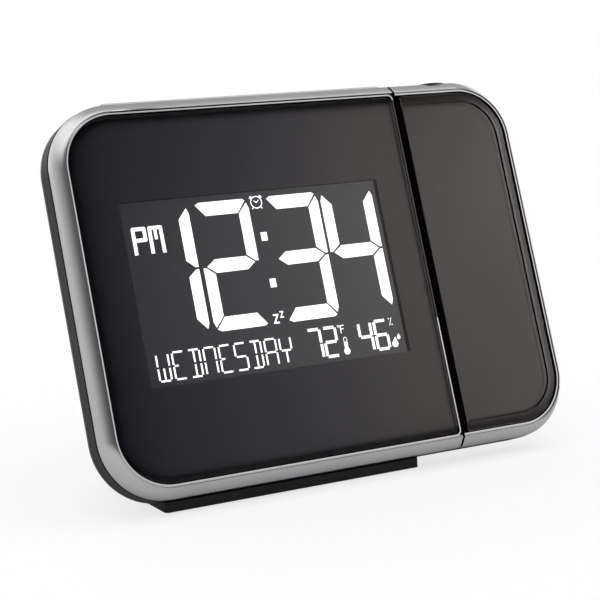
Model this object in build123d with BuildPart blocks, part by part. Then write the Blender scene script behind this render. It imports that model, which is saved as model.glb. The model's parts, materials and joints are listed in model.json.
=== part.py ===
from build123d import *
import os
from math import asin, cos, degrees, radians, sin

# Projection alarm clock. A wide main half carries the display, and a narrow arm at the
# right turns on a level axle and throws the time through a lens in its top end.
# +Z is up and the face looks to -Y. The origin is on the resting plane, at the middle of the
# clock's footprint. The clock leans back, so most pieces are placed in the face's own frame:
# x to the right, u up along the face, and depth measured backwards from the bezel's front.

# ---- Stance ----
LEAN = 18.0  # the face leans back from upright, degrees
FOOT_LOW = 6.2  # lens edge down to the foot's front edge, along the face
FOOT_SETBACK = 6.5  # bezel front back to the foot's front edge
FOOT_REACH = 30.0  # lens centre back to the foot's rear edge, level
FOOT_T = 2.4
FOOT_FRONT_R = 1.0
FOOT_REAR_R = 6.0
FOOT_SCREW_PITCH = 44.0
FOOT_SCREW_BACK = 8.0  # lens centre back to the foot's screws, level
FOOT_BOSS_R = 2.8
FOOT_BOSS_H = 5.6
PAD_PROUD = 0.4
PAD_SEAT = 0.6
PAD_R = 4.0
PAD_INSET_X = 7.0
PAD_INSET_Y = 6.0

# ---- Face ----
LENS_HALF_W = 60.6
LENS_HALF_H = 43.75
LENS_CORNER_R = 12.2
LENS_SET = 0.05  # lens surface below the bezel's front
LENS_T = 1.9
LENS_ROLL = 2.0  # width of the rolled edge
LENS_ROLL_DROP = 0.35
LENS_END_ROLL = 0.5  # width of the rolled edge beside the split
LENS_INNER_R = 1.0  # small corners beside the split
MASK_T = 0.15
SPLIT_X = 29.1  # right end of the main half
SPLIT_GAP = 0.65
MAIN_BAR = 0.7  # main lens to the split
ARM_BAR = 1.4  # black bar between the split and the arm's lens
ARM_BAR_SET = 0.2

# ---- Fits ----
FIT = 0.1  # gap round a piece that drops into its seat
SNUG = 0.03  # gap round a pressed pin or sleeve
RUN = 0.05  # gap round a turning shaft and beside its washers
LOOSE = 0.3  # gap round a piece that moves in a hole

# ---- Bezel ----
LIP_W = 0.45
GROOVE_W = 0.35
GROOVE_D = 0.45
BAR_LIP_W = 0.3
LEDGE = 1.1
BEZEL_D = 5.0
# depth, and how far the band then stands outside the lens at the sides and at top and bottom
BEZEL_BAND = ((1.2, 1.6, 2.25), (2.4, 2.45, 3.2), (3.65, 3.25, 3.4), (BEZEL_D, 3.4, 3.45))

# ---- Housing behind the bezel ----
HOUSING_OUT = 3.55  # how far the housing stands outside the lens
NECK_OUT = 2.7
NECK_D = 0.4
WALL = 2.0
SPLIT_WALL = 2.3
ARM_WALL = 2.1
WEB_T = 1.0
PARTING_OUT = 3.2
PARTING_W = 0.25
COVER_WALL = 1.5
RIM_ROUND_D = 1.4  # depth of the rear rim's rounding, and of its last bend
RIM_BEND_D = 0.5
RIM_BEND_OUT = 2.7
RIM_FLAT_OUT = 1.2

# ---- Rear hump ----
HUMP_WALL = 1.6
HUMP_SIDE_ROOM = 3.9  # from the battery tray to the hump's side walls
HUMP_EDGE_R = 2.0
HUMP_CORNER_R = 6.0

# ---- Display ----
WINDOW_LEFT = 10.9  # black border of the main lens, at each side of the window
WINDOW_RIGHT = 8.2
WINDOW_OVER = 20.85
WINDOW_UNDER = 22.35
SHROUD_WALL = 0.8
SHROUD_D = 2.05
SHROUD_BORDER = 0.3
LCD_T = 2.0
LCD_BORDER = 1.05  # display glass beyond the window
LCD_BORDER_TOP = 2.5
LCD_BORDER_LOW = 5.6
BACKLIGHT_T = 2.2
BACKLIGHT_MARGIN = 0.7
STRIP_H = 2.4  # connector strip under the backlight
STRIP_MARGIN = 0.35
STRIP_SHORT = 6.0

# ---- Main board ----
BOARD_GAP = 0.35  # backlight to board
BOARD_T = 1.2
BOARD_STEP = 0.3  # board front to the parting line
BOARD_ROOM = 0.4  # board back to the rear cover
BOARD_MARGIN = 9.6  # lens edge to the board's left side
BOARD_END = 9.2  # split to its right side
BOARD_LIFT = 4.25  # lens edge to the board's lower edge
BOARD_CORNER_R = 2.0
BOARD_SCREW_IN = 3.25  # hump's side wall to the board's screws
BOARD_SCREW_UP = 2.9  # board screws above the board's lower edge
BOARD_SCREW_OVER = 3.2  # and above the display
BOARD_BOSS_R = 2.2
COVER_SCREW_IN = 6.6  # lens edge to the cover's screws
COVER_SCREW_DOWN = 7.25
COVER_SCREW_SPLIT = 5.2  # split to the cover's screws
COVER_BOSS_R = 2.6
PILOT_R = 0.9
SCREW_R = 0.85
SCREW_HEAD_R = 1.8
SCREW_HEAD_H = 1.1
SCREW_HOLE_R = 1.1
SCREW_L = 4.6

# ---- Controls ----
DECK_OVER = 7.6  # top of the upper hump above the display
BUTTON_DOWN = 9.0  # row of buttons below that top
CONTROL_DOWN = 14.0  # row of switch, jack and sounder below the buttons
BUTTON_END = 8.7  # hump's side wall to the last button's middle
BUTTON_W = 8.0
BUTTON_H = 4.4
BUTTON_PROUD = 1.0
BUTTON_FLANGE = 1.0
BUTTON_FLANGE_T = 0.8
BUTTON_TRAVEL = 0.6
BUTTON_BEVEL = 0.3
MARK_L = 2.4
MARK_W = 0.6
MARK_D = 0.25
TACT_W = 6.0
TACT_T = 2.0
TACT_CAP_R = 1.6
TACT_CAP_T = 0.6
TACT_GAP = 0.2
SNOOZE_CAP_R = 0.8
BUZZER_PITCH = 2.2
BUZZER_X = 24.5  # left of the board's middle
BUZZER_R = 6.0
BUZZER_T = 3.8
BUZZER_HOLE_R = 1.2
BUZZER_HOLE_D = 1.9
SLOT_L = 7.0
SLOT_W = 1.0
SWITCH_X = 11.5
SWITCH_TRAVEL = 3.0
SWITCH_KNOB_W = 5.0
SWITCH_KNOB_H = 4.0
SWITCH_KNOB_PROUD = 1.2
SWITCH_BODY_W = 10.0
SWITCH_BODY_H = 5.0
SWITCH_BODY_T = 3.5
RIB_PITCH = 1.4
RIB_W = 0.6
RIB_D = 0.4
CHIP_X = 2.5  # right of the board's middle
CHIP_W = 9.0
CHIP_T = 1.6
JACK_X = 22.0
JACK_W = 9.0
JACK_R = 4.0
JACK_BORE_R = 2.8
JACK_PIN_R = 1.0
JACK_DEEP = 4.5
JACK_PIN_SET = 0.5
SENSOR_IN = 2.7  # from the hump's side wall
SENSOR_DOWN = 5.2  # below the buttons
SENSOR_W = 2.6
SENSOR_T = 1.4
VENT_PITCH = 1.8
VENT_L = 3.0
VENT_W = 0.8

# ---- Snooze bar ----
SNOOZE_IN = 12.6  # lens edge to the bar's left end
SNOOZE_PROUD = 1.1
SNOOZE_H = 3.35
SNOOZE_GAP = 0.15
SNOOZE_TRAVEL = 0.8
SNOOZE_EDGE_R = 0.8
SNOOZE_STEM_W = 5.0
SNOOZE_STEM_T = 2.0
SNOOZE_STEM_L = 3.55

# ---- Batteries ----
CELL_R = 7.1
CELL_L = 49.5
CELL_NUB_R = 2.7
CELL_NUB_L = 1.0
CELL_APART = 0.8
CELL_U = -17.1  # level between the two cells
CELL_PLAY = 0.65  # room above and below the cells in their tray
CELL_PLAY_D = 0.4
TRAY_BEHIND_BOARD = 0.8
TRAY_WALL = 1.1
SPRING_L = 3.4
SPRING_R = 4.2
SPRING_TIP_R = 2.4
CONTACT_T = 0.5
CONTACT_W = 11.0
DIMPLE_L = 0.45
DIMPLE_R = 1.6
DOOR_T = 1.4
DOOR_LEDGE = 0.8
DOOR_FIT = 0.2
DOOR_CORNER_R = 0.8
LUG_PITCH = 32.0
LUG_W = 6.0
LUG_T = 1.0
LUG_D = 1.5
GRIP_ROWS = 4
GRIP_PITCH = 1.6
GRIP_L = 14.0
GRIP_TAPER = 2.0
GRIP_W = 0.7
GRIP_D = 0.4
GRIP_DOWN = 4.0

# ---- Arm axle ----
AXLE_BEHIND_MASK = 0.4
AXLE_PAST_DISPLAY = 0.45
SHAFT_R = 2.4
SHAFT_BORE_R = 1.2
SHAFT_END = 0.25  # shaft beyond its clip
BUSH_R = 3.0
BUSH_FLANGE_R = 3.7
BUSH_FLANGE_T = 0.5
BUSH_SHORT = 0.2
BOSS_R = 3.9
WASHER_T = 0.45
WASHER_R = 3.3
CLIP_T = 0.5
CLIP_R = 3.4
CLIP_SEAT = 0.4
CLIP_MOUTH = 2.4
LEAD_R = 0.9
LEAD_PAST_WALL = 4.9
AXLE_FLANGE_R = 3.6
AXLE_FLANGE_T = 1.0

# ---- Projector ----
OPTIC_OFF = 2.475  # line of sight left of the arm lens's middle
RING_HALF_W = 6.1  # the ring is longer along the arm than from front to back
RING_HALF_D = 4.45
RING_H = 3.0
RING_UP = 3.45  # ring top above the lens edge
RING_BEVEL = 0.4
RING_FLAT = 0.5
RING_DISH = 1.2
BARREL_R = 3.5
BARREL_BORE_R = 3.0
BARREL_L = 29.6
BARREL_BEHIND_MASK = 0.4
CELL_TUBE_R = 2.92
CELL_TUBE_BORE_R = 2.35
CELL_TUBE_L = 11.0
CELL_TUBE_DOWN = 3.6  # below the barrel's top
LENS_PIECE_T = 2.8
LENS_PIECE_BULGE = 0.7
LENS_PIECE_SET = 0.4
CONDENSER_UP = 0.6
SLIDE_UP = 4.5
SLIDE_T = 0.8
FOCUS_UP = 4.5  # knob above the lens cell's lower end
FOCUS_THROW = 1.5  # the pin's distance from the knob's axis
FOCUS_PIN_R = 0.6
FOCUS_PIN_DEEP = 1.7
FOCUS_PIN_PLAY = 0.25
FOCUS_STEM_R = 1.8
FOCUS_COLLAR_R = 2.6
FOCUS_COLLAR_GAP = 0.25
FOCUS_KNOB_R = 5.2
FOCUS_KNOB_T = 1.8
FOCUS_KNOB_GAP = 0.15
KNURLS = 24
KNURL_R = 0.3
KNOB_RING_R = 3.8
KNOB_RING_W = 0.6
LED_R = 2.4
LED_L = 3.4
LED_DOME_R = 2.0
LED_BELOW_BARREL = 4.3
ARM_BOARD_T = 1.0
ARM_BOARD_H = 24.2
ARM_BOARD_RIGHT = 6.6  # from the lens edge
ARM_POST_R = 1.5
ARM_POST_UP = 5.0
ARM_POST_IN = 3.0
SADDLE_W = 5.0
ARM_SCREW_X = 2.9  # from the wall beside the split
ARM_SCREW_DOWN = 1.35  # from the lens edge
ARM_SCREW_IN = 1.4  # corner screws inside the lens corner's arc
ARM_SCREW_TURN = 64.0  # and their direction from its centre, degrees
ARM_BOSS_R = 3.2

# ---- The face's frame in space ----
LEAN_RAD = radians(LEAN)
FOOT_DROP = LENS_HALF_H + FOOT_LOW
LIP_OUT = FIT + LIP_W
BAND_OUT = LIP_OUT + GROOVE_W
FACE_Y = ((LENS_HALF_H + BAND_OUT) * sin(LEAN_RAD) - FOOT_REACH) / 2
FACE_Z = PAD_PROUD + FOOT_DROP * cos(LEAN_RAD) + FOOT_SETBACK * sin(LEAN_RAD)
OUTWARD = (0, -cos(LEAN_RAD), sin(LEAN_RAD))
INWARD = (0, cos(LEAN_RAD), -sin(LEAN_RAD))
UPWARD = (0, sin(LEAN_RAD), cos(LEAN_RAD))
FACE = Plane(origin=(0, FACE_Y, FACE_Z), x_dir=(1, 0, 0), z_dir=OUTWARD)
INWARD_AXIS = Axis((0, 0, 0), INWARD)
UPWARD_AXIS = Axis((0, 0, 0), UPWARD)

# ---- Depths, from the front to the back ----
LENS_SHOULDER = LENS_SET + LENS_ROLL_DROP
MASK_FRONT = LENS_SET + LENS_T
SEAT_DEPTH = MASK_FRONT + MASK_T
SHROUD_BACK = SEAT_DEPTH + SHROUD_D
LCD_FRONT = SHROUD_BACK + FIT
LCD_BACK = LCD_FRONT + LCD_T
BOARD_FRONT = LCD_BACK + FIT + BACKLIGHT_T + BOARD_GAP
BOARD_BACK = BOARD_FRONT + BOARD_T
WEB_BACK = BEZEL_D + WEB_T
RING_FRONT = BEZEL_D + NECK_D
FRAME_BACK = BOARD_FRONT + BOARD_STEP
RIM_START = FRAME_BACK + PARTING_W
COVER_INSIDE = BOARD_BACK + BOARD_ROOM
RIM_BACK = COVER_INSIDE + COVER_WALL
TACT_BACK = BOARD_BACK + TACT_T
FLANGE_BACK = TACT_BACK + TACT_CAP_T + BUTTON_TRAVEL + TACT_GAP + BUTTON_FLANGE_T
DECK_INSIDE = FLANGE_BACK + FIT
DECK_BACK = DECK_INSIDE + HUMP_WALL
TRAY_FLOOR = BOARD_BACK + TRAY_BEHIND_BOARD + TRAY_WALL
CELL_DEPTH = TRAY_FLOOR + CELL_PLAY_D + CELL_R
DOOR_FRONT = CELL_DEPTH + CELL_R + CELL_PLAY_D + FIT
HUMP_BACK = DOOR_FRONT + DOOR_T
HUMP_INSIDE = HUMP_BACK - HUMP_WALL
PIVOT_DEPTH = SEAT_DEPTH + AXLE_BEHIND_MASK + BOSS_R
OPTIC_DEPTH = SEAT_DEPTH + BARREL_BEHIND_MASK + BARREL_R
BARREL_BACK = OPTIC_DEPTH + BARREL_R
RIM_ROUND = (
    (RIM_BACK - RIM_ROUND_D, HOUSING_OUT),
    (RIM_BACK - RIM_BEND_D, RIM_BEND_OUT),
    (RIM_BACK, RIM_FLAT_OUT),
)
SNOOZE_FRONT = RING_FRONT + SNOOZE_GAP
SNOOZE_BACK = RIM_BACK - RIM_ROUND_D - FIT

# ---- Places across the face ----
INNER_OUT = HOUSING_OUT - WALL
MAIN_LENS_RIGHT = SPLIT_X - MAIN_BAR
MAIN_INNER_RIGHT = SPLIT_X - SPLIT_WALL
ARM_LEFT = SPLIT_X + SPLIT_GAP
ARM_LENS_LEFT = ARM_LEFT + ARM_BAR
ARM_INNER_LEFT = ARM_LEFT + ARM_WALL
WINDOW = (
    WINDOW_LEFT - LENS_HALF_W,
    MAIN_LENS_RIGHT - WINDOW_RIGHT,
    WINDOW_UNDER - LENS_HALF_H,
    LENS_HALF_H - WINDOW_OVER,
)
LCD_LEFT = WINDOW[0] - LCD_BORDER
LCD_RIGHT = WINDOW[1] + LCD_BORDER
LCD_LOW = WINDOW[2] - LCD_BORDER_LOW
LCD_TOP = WINDOW[3] + LCD_BORDER_TOP
BOARD_LEFT = BOARD_MARGIN - LENS_HALF_W
BOARD_RIGHT = SPLIT_X - BOARD_END
BOARD_LOW = BOARD_LIFT - LENS_HALF_H
MIDDLE = (BOARD_LEFT + BOARD_RIGHT) / 2  # middle of the board, the hump and the foot
CELL_PITCH = 2 * CELL_R + CELL_APART
TRAY_HALF_L = (CELL_L + CELL_NUB_L + SPRING_L + DIMPLE_L + RUN) / 2 + CONTACT_T
TRAY_TOP = CELL_U + CELL_PITCH / 2 + CELL_R + CELL_PLAY
TRAY_LOW = CELL_U - CELL_PITCH / 2 - CELL_R - CELL_PLAY
FOOT_HALF_W = TRAY_HALF_L + TRAY_WALL + HUMP_SIDE_ROOM + HUMP_WALL
HUMP_TOP = TRAY_TOP + TRAY_WALL + HUMP_WALL
HUMP_HALF_ROOM = FOOT_HALF_W - HUMP_WALL
DECK_TOP = LCD_TOP + DECK_OVER
BUTTON_U = DECK_TOP - BUTTON_DOWN
CONTROL_U = BUTTON_U - CONTROL_DOWN
SENSOR_X = MIDDLE + HUMP_HALF_ROOM - SENSOR_IN
SNOOZE_LEFT = SNOOZE_IN - LENS_HALF_W
SNOOZE_RIGHT = SPLIT_X - BUSH_SHORT
SNOOZE_TOP = LENS_HALF_H + HOUSING_OUT + SNOOZE_PROUD
SNOOZE_LOW = SNOOZE_TOP - SNOOZE_H
STEM_LOW = SNOOZE_LOW - SNOOZE_STEM_L
SNOOZE_TACT_TOP = STEM_LOW - SNOOZE_TRAVEL - SNOOZE_GAP - TACT_CAP_T
BOARD_TOP = SNOOZE_TACT_TOP
FOOT_FRONT_Y = FACE_Y - FOOT_DROP * sin(LEAN_RAD) + FOOT_SETBACK * cos(LEAN_RAD)
FOOT_REAR_Y = FACE_Y + FOOT_REACH
FOOT_Y = (FOOT_REAR_Y + FOOT_FRONT_Y) / 2
FOOT_DEEP = FOOT_REAR_Y - FOOT_FRONT_Y
FOOT_TOP = PAD_PROUD + FOOT_T
POCKET_TOP = FOOT_TOP + FIT
SHAFT_LEFT = LCD_RIGHT + AXLE_PAST_DISPLAY
CLIP_LEFT = SHAFT_LEFT + SHAFT_END
WASHER_LEFT = CLIP_LEFT + CLIP_T + RUN
BUSH_LEFT = WASHER_LEFT + WASHER_T + RUN
LEAD_RIGHT = ARM_INNER_LEFT + LEAD_PAST_WALL
OPTIC_X = (ARM_LENS_LEFT + LENS_HALF_W) / 2 - OPTIC_OFF
RING_TOP = LENS_HALF_H + RING_UP
RING_LOW = RING_TOP - RING_H
BARREL_TOP = RING_LOW - FIT
BARREL_LOW = BARREL_TOP - BARREL_L
CELL_TUBE_TOP = BARREL_TOP - CELL_TUBE_DOWN
CELL_TUBE_LOW = CELL_TUBE_TOP - CELL_TUBE_L
FOCUS_U = CELL_TUBE_LOW + FOCUS_UP
FOCUS_WAY = 2 * (FOCUS_THROW + FOCUS_PIN_R + FOCUS_PIN_PLAY)
ARM_BOARD_TOP = BARREL_LOW - LED_BELOW_BARREL
ARM_BOARD_LOW = ARM_BOARD_TOP - ARM_BOARD_H
ARM_CORNER_X = LENS_HALF_W - LENS_CORNER_R + (LENS_CORNER_R - ARM_SCREW_IN) * cos(radians(ARM_SCREW_TURN))
ARM_CORNER_U = LENS_HALF_H - LENS_CORNER_R + (LENS_CORNER_R - ARM_SCREW_IN) * sin(radians(ARM_SCREW_TURN))

BOARD_SCREWS = [
    (x, u)
    for x in (MIDDLE - HUMP_HALF_ROOM + BOARD_SCREW_IN, MIDDLE + HUMP_HALF_ROOM - BOARD_SCREW_IN)
    for u in (BOARD_LOW + BOARD_SCREW_UP, LCD_TOP + BOARD_SCREW_OVER)
]
COVER_SCREWS = [
    (x, side * (LENS_HALF_H - COVER_SCREW_DOWN))
    for x in (COVER_SCREW_IN - LENS_HALF_W, SPLIT_X - COVER_SCREW_SPLIT)
    for side in (-1, 1)
]
ARM_SCREWS = [
    (x, side * u)
    for x, u in ((ARM_INNER_LEFT + ARM_SCREW_X, LENS_HALF_H - ARM_SCREW_DOWN), (ARM_CORNER_X, ARM_CORNER_U))
    for side in (-1, 1)
]
FOOT_SCREWS = [(MIDDLE + side * FOOT_SCREW_PITCH / 2, FACE_Y + FOOT_SCREW_BACK) for side in (-1, 1)]
BUTTONS = ("button_time", "button_alarm", "button_plus", "button_minus", "button_light")
BUTTON_PITCH = 2 * (HUMP_HALF_ROOM - BUTTON_END) / (len(BUTTONS) - 1)
BUTTON_X = [MIDDLE - HUMP_HALF_ROOM + BUTTON_END + place * BUTTON_PITCH for place in range(len(BUTTONS))]


def point(x, u, depth):
    """A point of the face's frame in space."""
    return FACE.from_local_coords((x, u, -depth))


def spot(x, u, depth, z_dir=OUTWARD):
    """Plane parallel to the face, centred on a point of it."""
    return Plane(origin=point(x, u, depth), x_dir=(1, 0, 0), z_dir=z_dir)


def across(x, u=0.0, depth=PIVOT_DEPTH):
    """Plane square to the arm's axle."""
    return Plane(origin=point(x, u, depth), x_dir=UPWARD, z_dir=(1, 0, 0))


def along(u, x=OPTIC_X, depth=OPTIC_DEPTH):
    """Plane square to the projector's line of sight."""
    return Plane(origin=point(x, u, depth), x_dir=(1, 0, 0), z_dir=UPWARD)


def disc(plane, radius, bore=0.0):
    with BuildSketch(plane) as section:
        Circle(radius)
        if bore:
            Circle(bore, mode=Mode.SUBTRACT)
    return section.sketch


def oval(plane, grow=0.0):
    """Outline of the projector's ring."""
    with BuildSketch(plane) as section:
        Ellipse(RING_HALF_W + grow, RING_HALF_D + grow)
    return section.sketch


def panel(depth, left, right, low, top, r_left=0.0, r_right=0.0, r_top=0.0):
    """Rectangle parallel to the face, with its own corner radius at each end or at the top."""
    with BuildSketch(FACE.offset(-depth)) as outline:
        with Locations(((left + right) / 2, (low + top) / 2)):
            Rectangle(right - left, top - low)
        if r_left:
            fillet(outline.vertices().group_by(Axis.X)[0], r_left)
        if r_right:
            fillet(outline.vertices().group_by(Axis.X)[-1], r_right)
        if r_top:
            fillet(outline.vertices().group_by(Axis.Y)[-1], r_top)
    return outline.sketch


def centred(depth, x, u, width, height):
    return panel(depth, x - width / 2, x + width / 2, u - height / 2, u + height / 2)


def main_outline(depth, side, edge, right=SPLIT_X, r_right=0.0):
    """Outline of the main half, standing outside the lens by side and by edge."""
    high = LENS_HALF_H + edge
    r_left = LENS_CORNER_R + (side + edge) / 2
    return panel(depth, -LENS_HALF_W - side, right, -high, high, r_left, r_right)


def arm_outline(depth, side, edge, left=ARM_LEFT, r_left=0.0):
    """Outline of the arm, standing outside the lens by side and by edge."""
    high = LENS_HALF_H + edge
    r_right = LENS_CORNER_R + (side + edge) / 2
    return panel(depth, left, LENS_HALF_W + side, -high, high, r_left, r_right)


def hump_outline(depth, top, inset=0.0):
    """Outline of a step of the rear hump, drawn down past the foot."""
    half = FOOT_HALF_W - inset
    low = -2 * FOOT_DROP
    return panel(depth, MIDDLE - half, MIDDLE + half, low, top - inset, r_top=HUMP_CORNER_R - inset)


def foot_outline(plane, grow=0.0):
    with BuildSketch(plane) as plan:
        with Locations((MIDDLE, FOOT_Y)):
            Rectangle(2 * (FOOT_HALF_W + grow), FOOT_DEEP + 2 * grow)
        fillet(plan.vertices().group_by(Axis.Y)[0], FOOT_FRONT_R)
        fillet(plan.vertices().group_by(Axis.Y)[-1], FOOT_REAR_R)
    return plan.sketch


def discs(plane, places, radius):
    with BuildSketch(plane) as plan:
        with Locations(*places):
            Circle(radius)
    return plan.sketch


def screw(seat, length):
    """Pan-head screw whose head stands out from its seat plane."""
    with BuildPart(mode=Mode.PRIVATE) as one:
        extrude(disc(seat, SCREW_HEAD_R), amount=SCREW_HEAD_H)
        chamfer(one.faces().sort_by(Axis(seat.origin, seat.z_dir))[-1].edges(), SCREW_HEAD_H / 3)
        extrude(disc(seat, SCREW_R), amount=-length)
    return one.part


def lens_piece(low, radius):
    """Lens turned about the projector's line of sight, bulging at both faces."""
    ball = (radius**2 + LENS_PIECE_BULGE**2) / (2 * LENS_PIECE_BULGE)
    sweep = degrees(asin(radius / ball))
    high = low + LENS_PIECE_T
    edge = OPTIC_X + radius
    with BuildPart(mode=Mode.PRIVATE) as glass:
        with BuildSketch(FACE.offset(-OPTIC_DEPTH)):
            with BuildLine():
                Line((OPTIC_X, low), (OPTIC_X, high))
                CenterArc((OPTIC_X, high - ball), ball, 90, -sweep)
                Line((edge, high - LENS_PIECE_BULGE), (edge, low + LENS_PIECE_BULGE))
                CenterArc((OPTIC_X, low + ball), ball, 270, sweep)
            make_face()
        revolve(axis=SIGHT)
    return glass.part


SIGHT = Axis(point(OPTIC_X, 0, OPTIC_DEPTH), UPWARD)

os.makedirs("parts", exist_ok=True)

# ==== Main half: face and display ====

with BuildPart() as main_bezel:
    band = [main_outline(0, BAND_OUT, BAND_OUT)]
    band += [main_outline(depth, side, edge) for depth, side, edge in BEZEL_BAND]
    loft(band, ruled=True)
    extrude(main_outline(0, BAND_OUT, BAND_OUT), amount=-GROOVE_D, mode=Mode.SUBTRACT)
    lip = main_outline(0, LIP_OUT, LIP_OUT, MAIN_LENS_RIGHT + FIT + BAR_LIP_W, LENS_INNER_R)
    extrude(lip, amount=-GROOVE_D)
    lens_seat = main_outline(0, FIT, FIT, MAIN_LENS_RIGHT + FIT, LENS_INNER_R)
    extrude(lens_seat, amount=-SEAT_DEPTH, mode=Mode.SUBTRACT)
    opening = main_outline(0, -LEDGE, -LEDGE, MAIN_LENS_RIGHT - LEDGE)
    extrude(opening, amount=-BEZEL_D, mode=Mode.SUBTRACT)
    extrude(disc(across(MAIN_INNER_RIGHT), BUSH_R + FIT), amount=SPLIT_WALL, mode=Mode.SUBTRACT)
main_bezel.part.label = "main_bezel"
export_step(main_bezel.part, "parts/main_bezel.step")

with BuildPart() as main_lens:
    lens_foot = main_outline(LENS_SHOULDER, 0, 0, MAIN_LENS_RIGHT, LENS_INNER_R)
    lens_top = main_outline(LENS_SET, -LENS_ROLL, -LENS_ROLL, MAIN_LENS_RIGHT - LENS_END_ROLL, LENS_INNER_R)
    loft([lens_foot, lens_top], ruled=True)
    extrude(lens_foot, amount=LENS_ROLL_DROP - LENS_T)
main_lens.part.label = "main_lens"
export_step(main_lens.part, "parts/main_lens.step")

with BuildPart() as lens_mask:
    extrude(main_outline(MASK_FRONT, 0, 0, MAIN_LENS_RIGHT, LENS_INNER_R), amount=-MASK_T)
    extrude(panel(MASK_FRONT, *WINDOW), amount=-MASK_T, mode=Mode.SUBTRACT)
lens_mask.part.label = "lens_mask"
export_step(lens_mask.part, "parts/lens_mask.step")


def window_frame(grow):
    """The window's outline behind the mask, grown all round."""
    left, right, low, top = WINDOW
    return panel(SEAT_DEPTH, left - grow, right + grow, low - grow, top + grow)


with BuildPart() as display_shroud:
    extrude(window_frame(SHROUD_BORDER + SHROUD_WALL), amount=-SHROUD_D)
    extrude(window_frame(SHROUD_BORDER), amount=-SHROUD_D, mode=Mode.SUBTRACT)
display_shroud.part.label = "display_shroud"
export_step(display_shroud.part, "parts/display_shroud.step")

with BuildPart() as lcd_glass:
    extrude(panel(LCD_FRONT, LCD_LEFT, LCD_RIGHT, LCD_LOW, LCD_TOP), amount=-LCD_T)
lcd_glass.part.label = "lcd_glass"
export_step(lcd_glass.part, "parts/lcd_glass.step")

STRIP_LOW = LCD_LOW + STRIP_MARGIN
STRIP_TOP = STRIP_LOW + STRIP_H

with BuildPart() as backlight_panel:
    light_left = LCD_LEFT + BACKLIGHT_MARGIN
    light_right = LCD_RIGHT - BACKLIGHT_MARGIN
    light = panel(LCD_BACK + FIT, light_left, light_right, STRIP_TOP + BACKLIGHT_MARGIN, LCD_TOP)
    extrude(light, amount=-BACKLIGHT_T)
backlight_panel.part.label = "backlight_panel"
export_step(backlight_panel.part, "parts/backlight_panel.step")

with BuildPart() as lcd_connector:
    strip = panel(LCD_BACK, LCD_LEFT + STRIP_SHORT, LCD_RIGHT - STRIP_SHORT, STRIP_LOW, STRIP_TOP)
    extrude(strip, amount=LCD_BACK - BOARD_FRONT)
lcd_connector.part.label = "lcd_connector"
export_step(lcd_connector.part, "parts/lcd_connector.step")

# ==== Main half: housing ====

SLOT_LOW = SNOOZE_LOW - SNOOZE_TRAVEL - SNOOZE_GAP

with BuildPart() as snooze_way:
    way_left = SNOOZE_LEFT - SNOOZE_GAP
    way = panel(SNOOZE_FRONT - SNOOZE_GAP, way_left, SPLIT_X + SPLIT_GAP, SLOT_LOW, SNOOZE_TOP)
    extrude(way, amount=SNOOZE_FRONT - SNOOZE_BACK - 2 * SNOOZE_GAP)

with BuildPart() as foot_pocket:
    extrude(foot_outline(Plane.XY.offset(POCKET_TOP), FIT), amount=-FOOT_DROP)

with BuildPart() as front_frame:
    extrude(main_outline(BEZEL_D, NECK_OUT, NECK_OUT), amount=-NECK_D)
    extrude(main_outline(RING_FRONT, HOUSING_OUT, HOUSING_OUT), amount=RING_FRONT - FRAME_BACK)
    room = main_outline(WEB_BACK, INNER_OUT, INNER_OUT, MAIN_INNER_RIGHT)
    extrude(room, amount=WEB_BACK - FRAME_BACK, mode=Mode.SUBTRACT)
    for x, u in COVER_SCREWS:
        extrude(disc(spot(x, u, FRAME_BACK), COVER_BOSS_R), amount=FRAME_BACK - BEZEL_D)
    for x, u in BOARD_SCREWS:
        extrude(disc(spot(x, u, BOARD_FRONT), BOARD_BOSS_R), amount=BOARD_FRONT - BEZEL_D)
    boss_left = BUSH_LEFT + BUSH_FLANGE_T
    extrude(disc(across(boss_left), BOSS_R), amount=MAIN_INNER_RIGHT - boss_left)
    # opening for the display, with a notch beside it for the end of the axle
    display = panel(BEZEL_D, LCD_LEFT - FIT, LCD_RIGHT + FIT, LCD_LOW - FIT, LCD_TOP + FIT)
    extrude(display, amount=BEZEL_D - FRAME_BACK, mode=Mode.SUBTRACT)
    notch = BUSH_FLANGE_R + LOOSE
    extrude(panel(0, LCD_RIGHT, boss_left, -notch, notch), amount=-WEB_BACK, mode=Mode.SUBTRACT)
    extrude(disc(across(BUSH_LEFT), BUSH_R + SNUG), amount=SPLIT_X - BUSH_LEFT, mode=Mode.SUBTRACT)
    for x, u in COVER_SCREWS + BOARD_SCREWS:
        hole_depth = FRAME_BACK - WEB_BACK + WEB_T / 2
        extrude(disc(spot(x, u, FRAME_BACK), PILOT_R), amount=hole_depth, mode=Mode.SUBTRACT)
    add(snooze_way.part, mode=Mode.SUBTRACT)
    add(foot_pocket.part, mode=Mode.SUBTRACT)
front_frame.part.label = "front_frame"
export_step(front_frame.part, "parts/front_frame.step")

with BuildPart() as hump_body:
    extrude(hump_outline(COVER_INSIDE, DECK_TOP), amount=COVER_INSIDE - DECK_BACK)
    fillet(hump_body.faces().sort_by(INWARD_AXIS)[-1].edges(), HUMP_EDGE_R)
    extrude(hump_outline(COVER_INSIDE, HUMP_TOP), amount=COVER_INSIDE - HUMP_BACK)
    fillet(hump_body.faces().sort_by(INWARD_AXIS)[-1].edges(), HUMP_EDGE_R)
    split(bisect_by=Plane.XY.offset(POCKET_TOP), keep=Keep.TOP)

with BuildPart() as cover_core:
    core = main_outline(FRAME_BACK, INNER_OUT, INNER_OUT, MAIN_INNER_RIGHT)
    extrude(core, amount=FRAME_BACK - COVER_INSIDE)
    extrude(hump_outline(FRAME_BACK, DECK_TOP, HUMP_WALL), amount=FRAME_BACK - DECK_INSIDE)
    extrude(hump_outline(FRAME_BACK, HUMP_TOP, HUMP_WALL), amount=FRAME_BACK - HUMP_INSIDE)
    split(bisect_by=Plane.XY.offset(POCKET_TOP + HUMP_WALL), keep=Keep.TOP)

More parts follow.
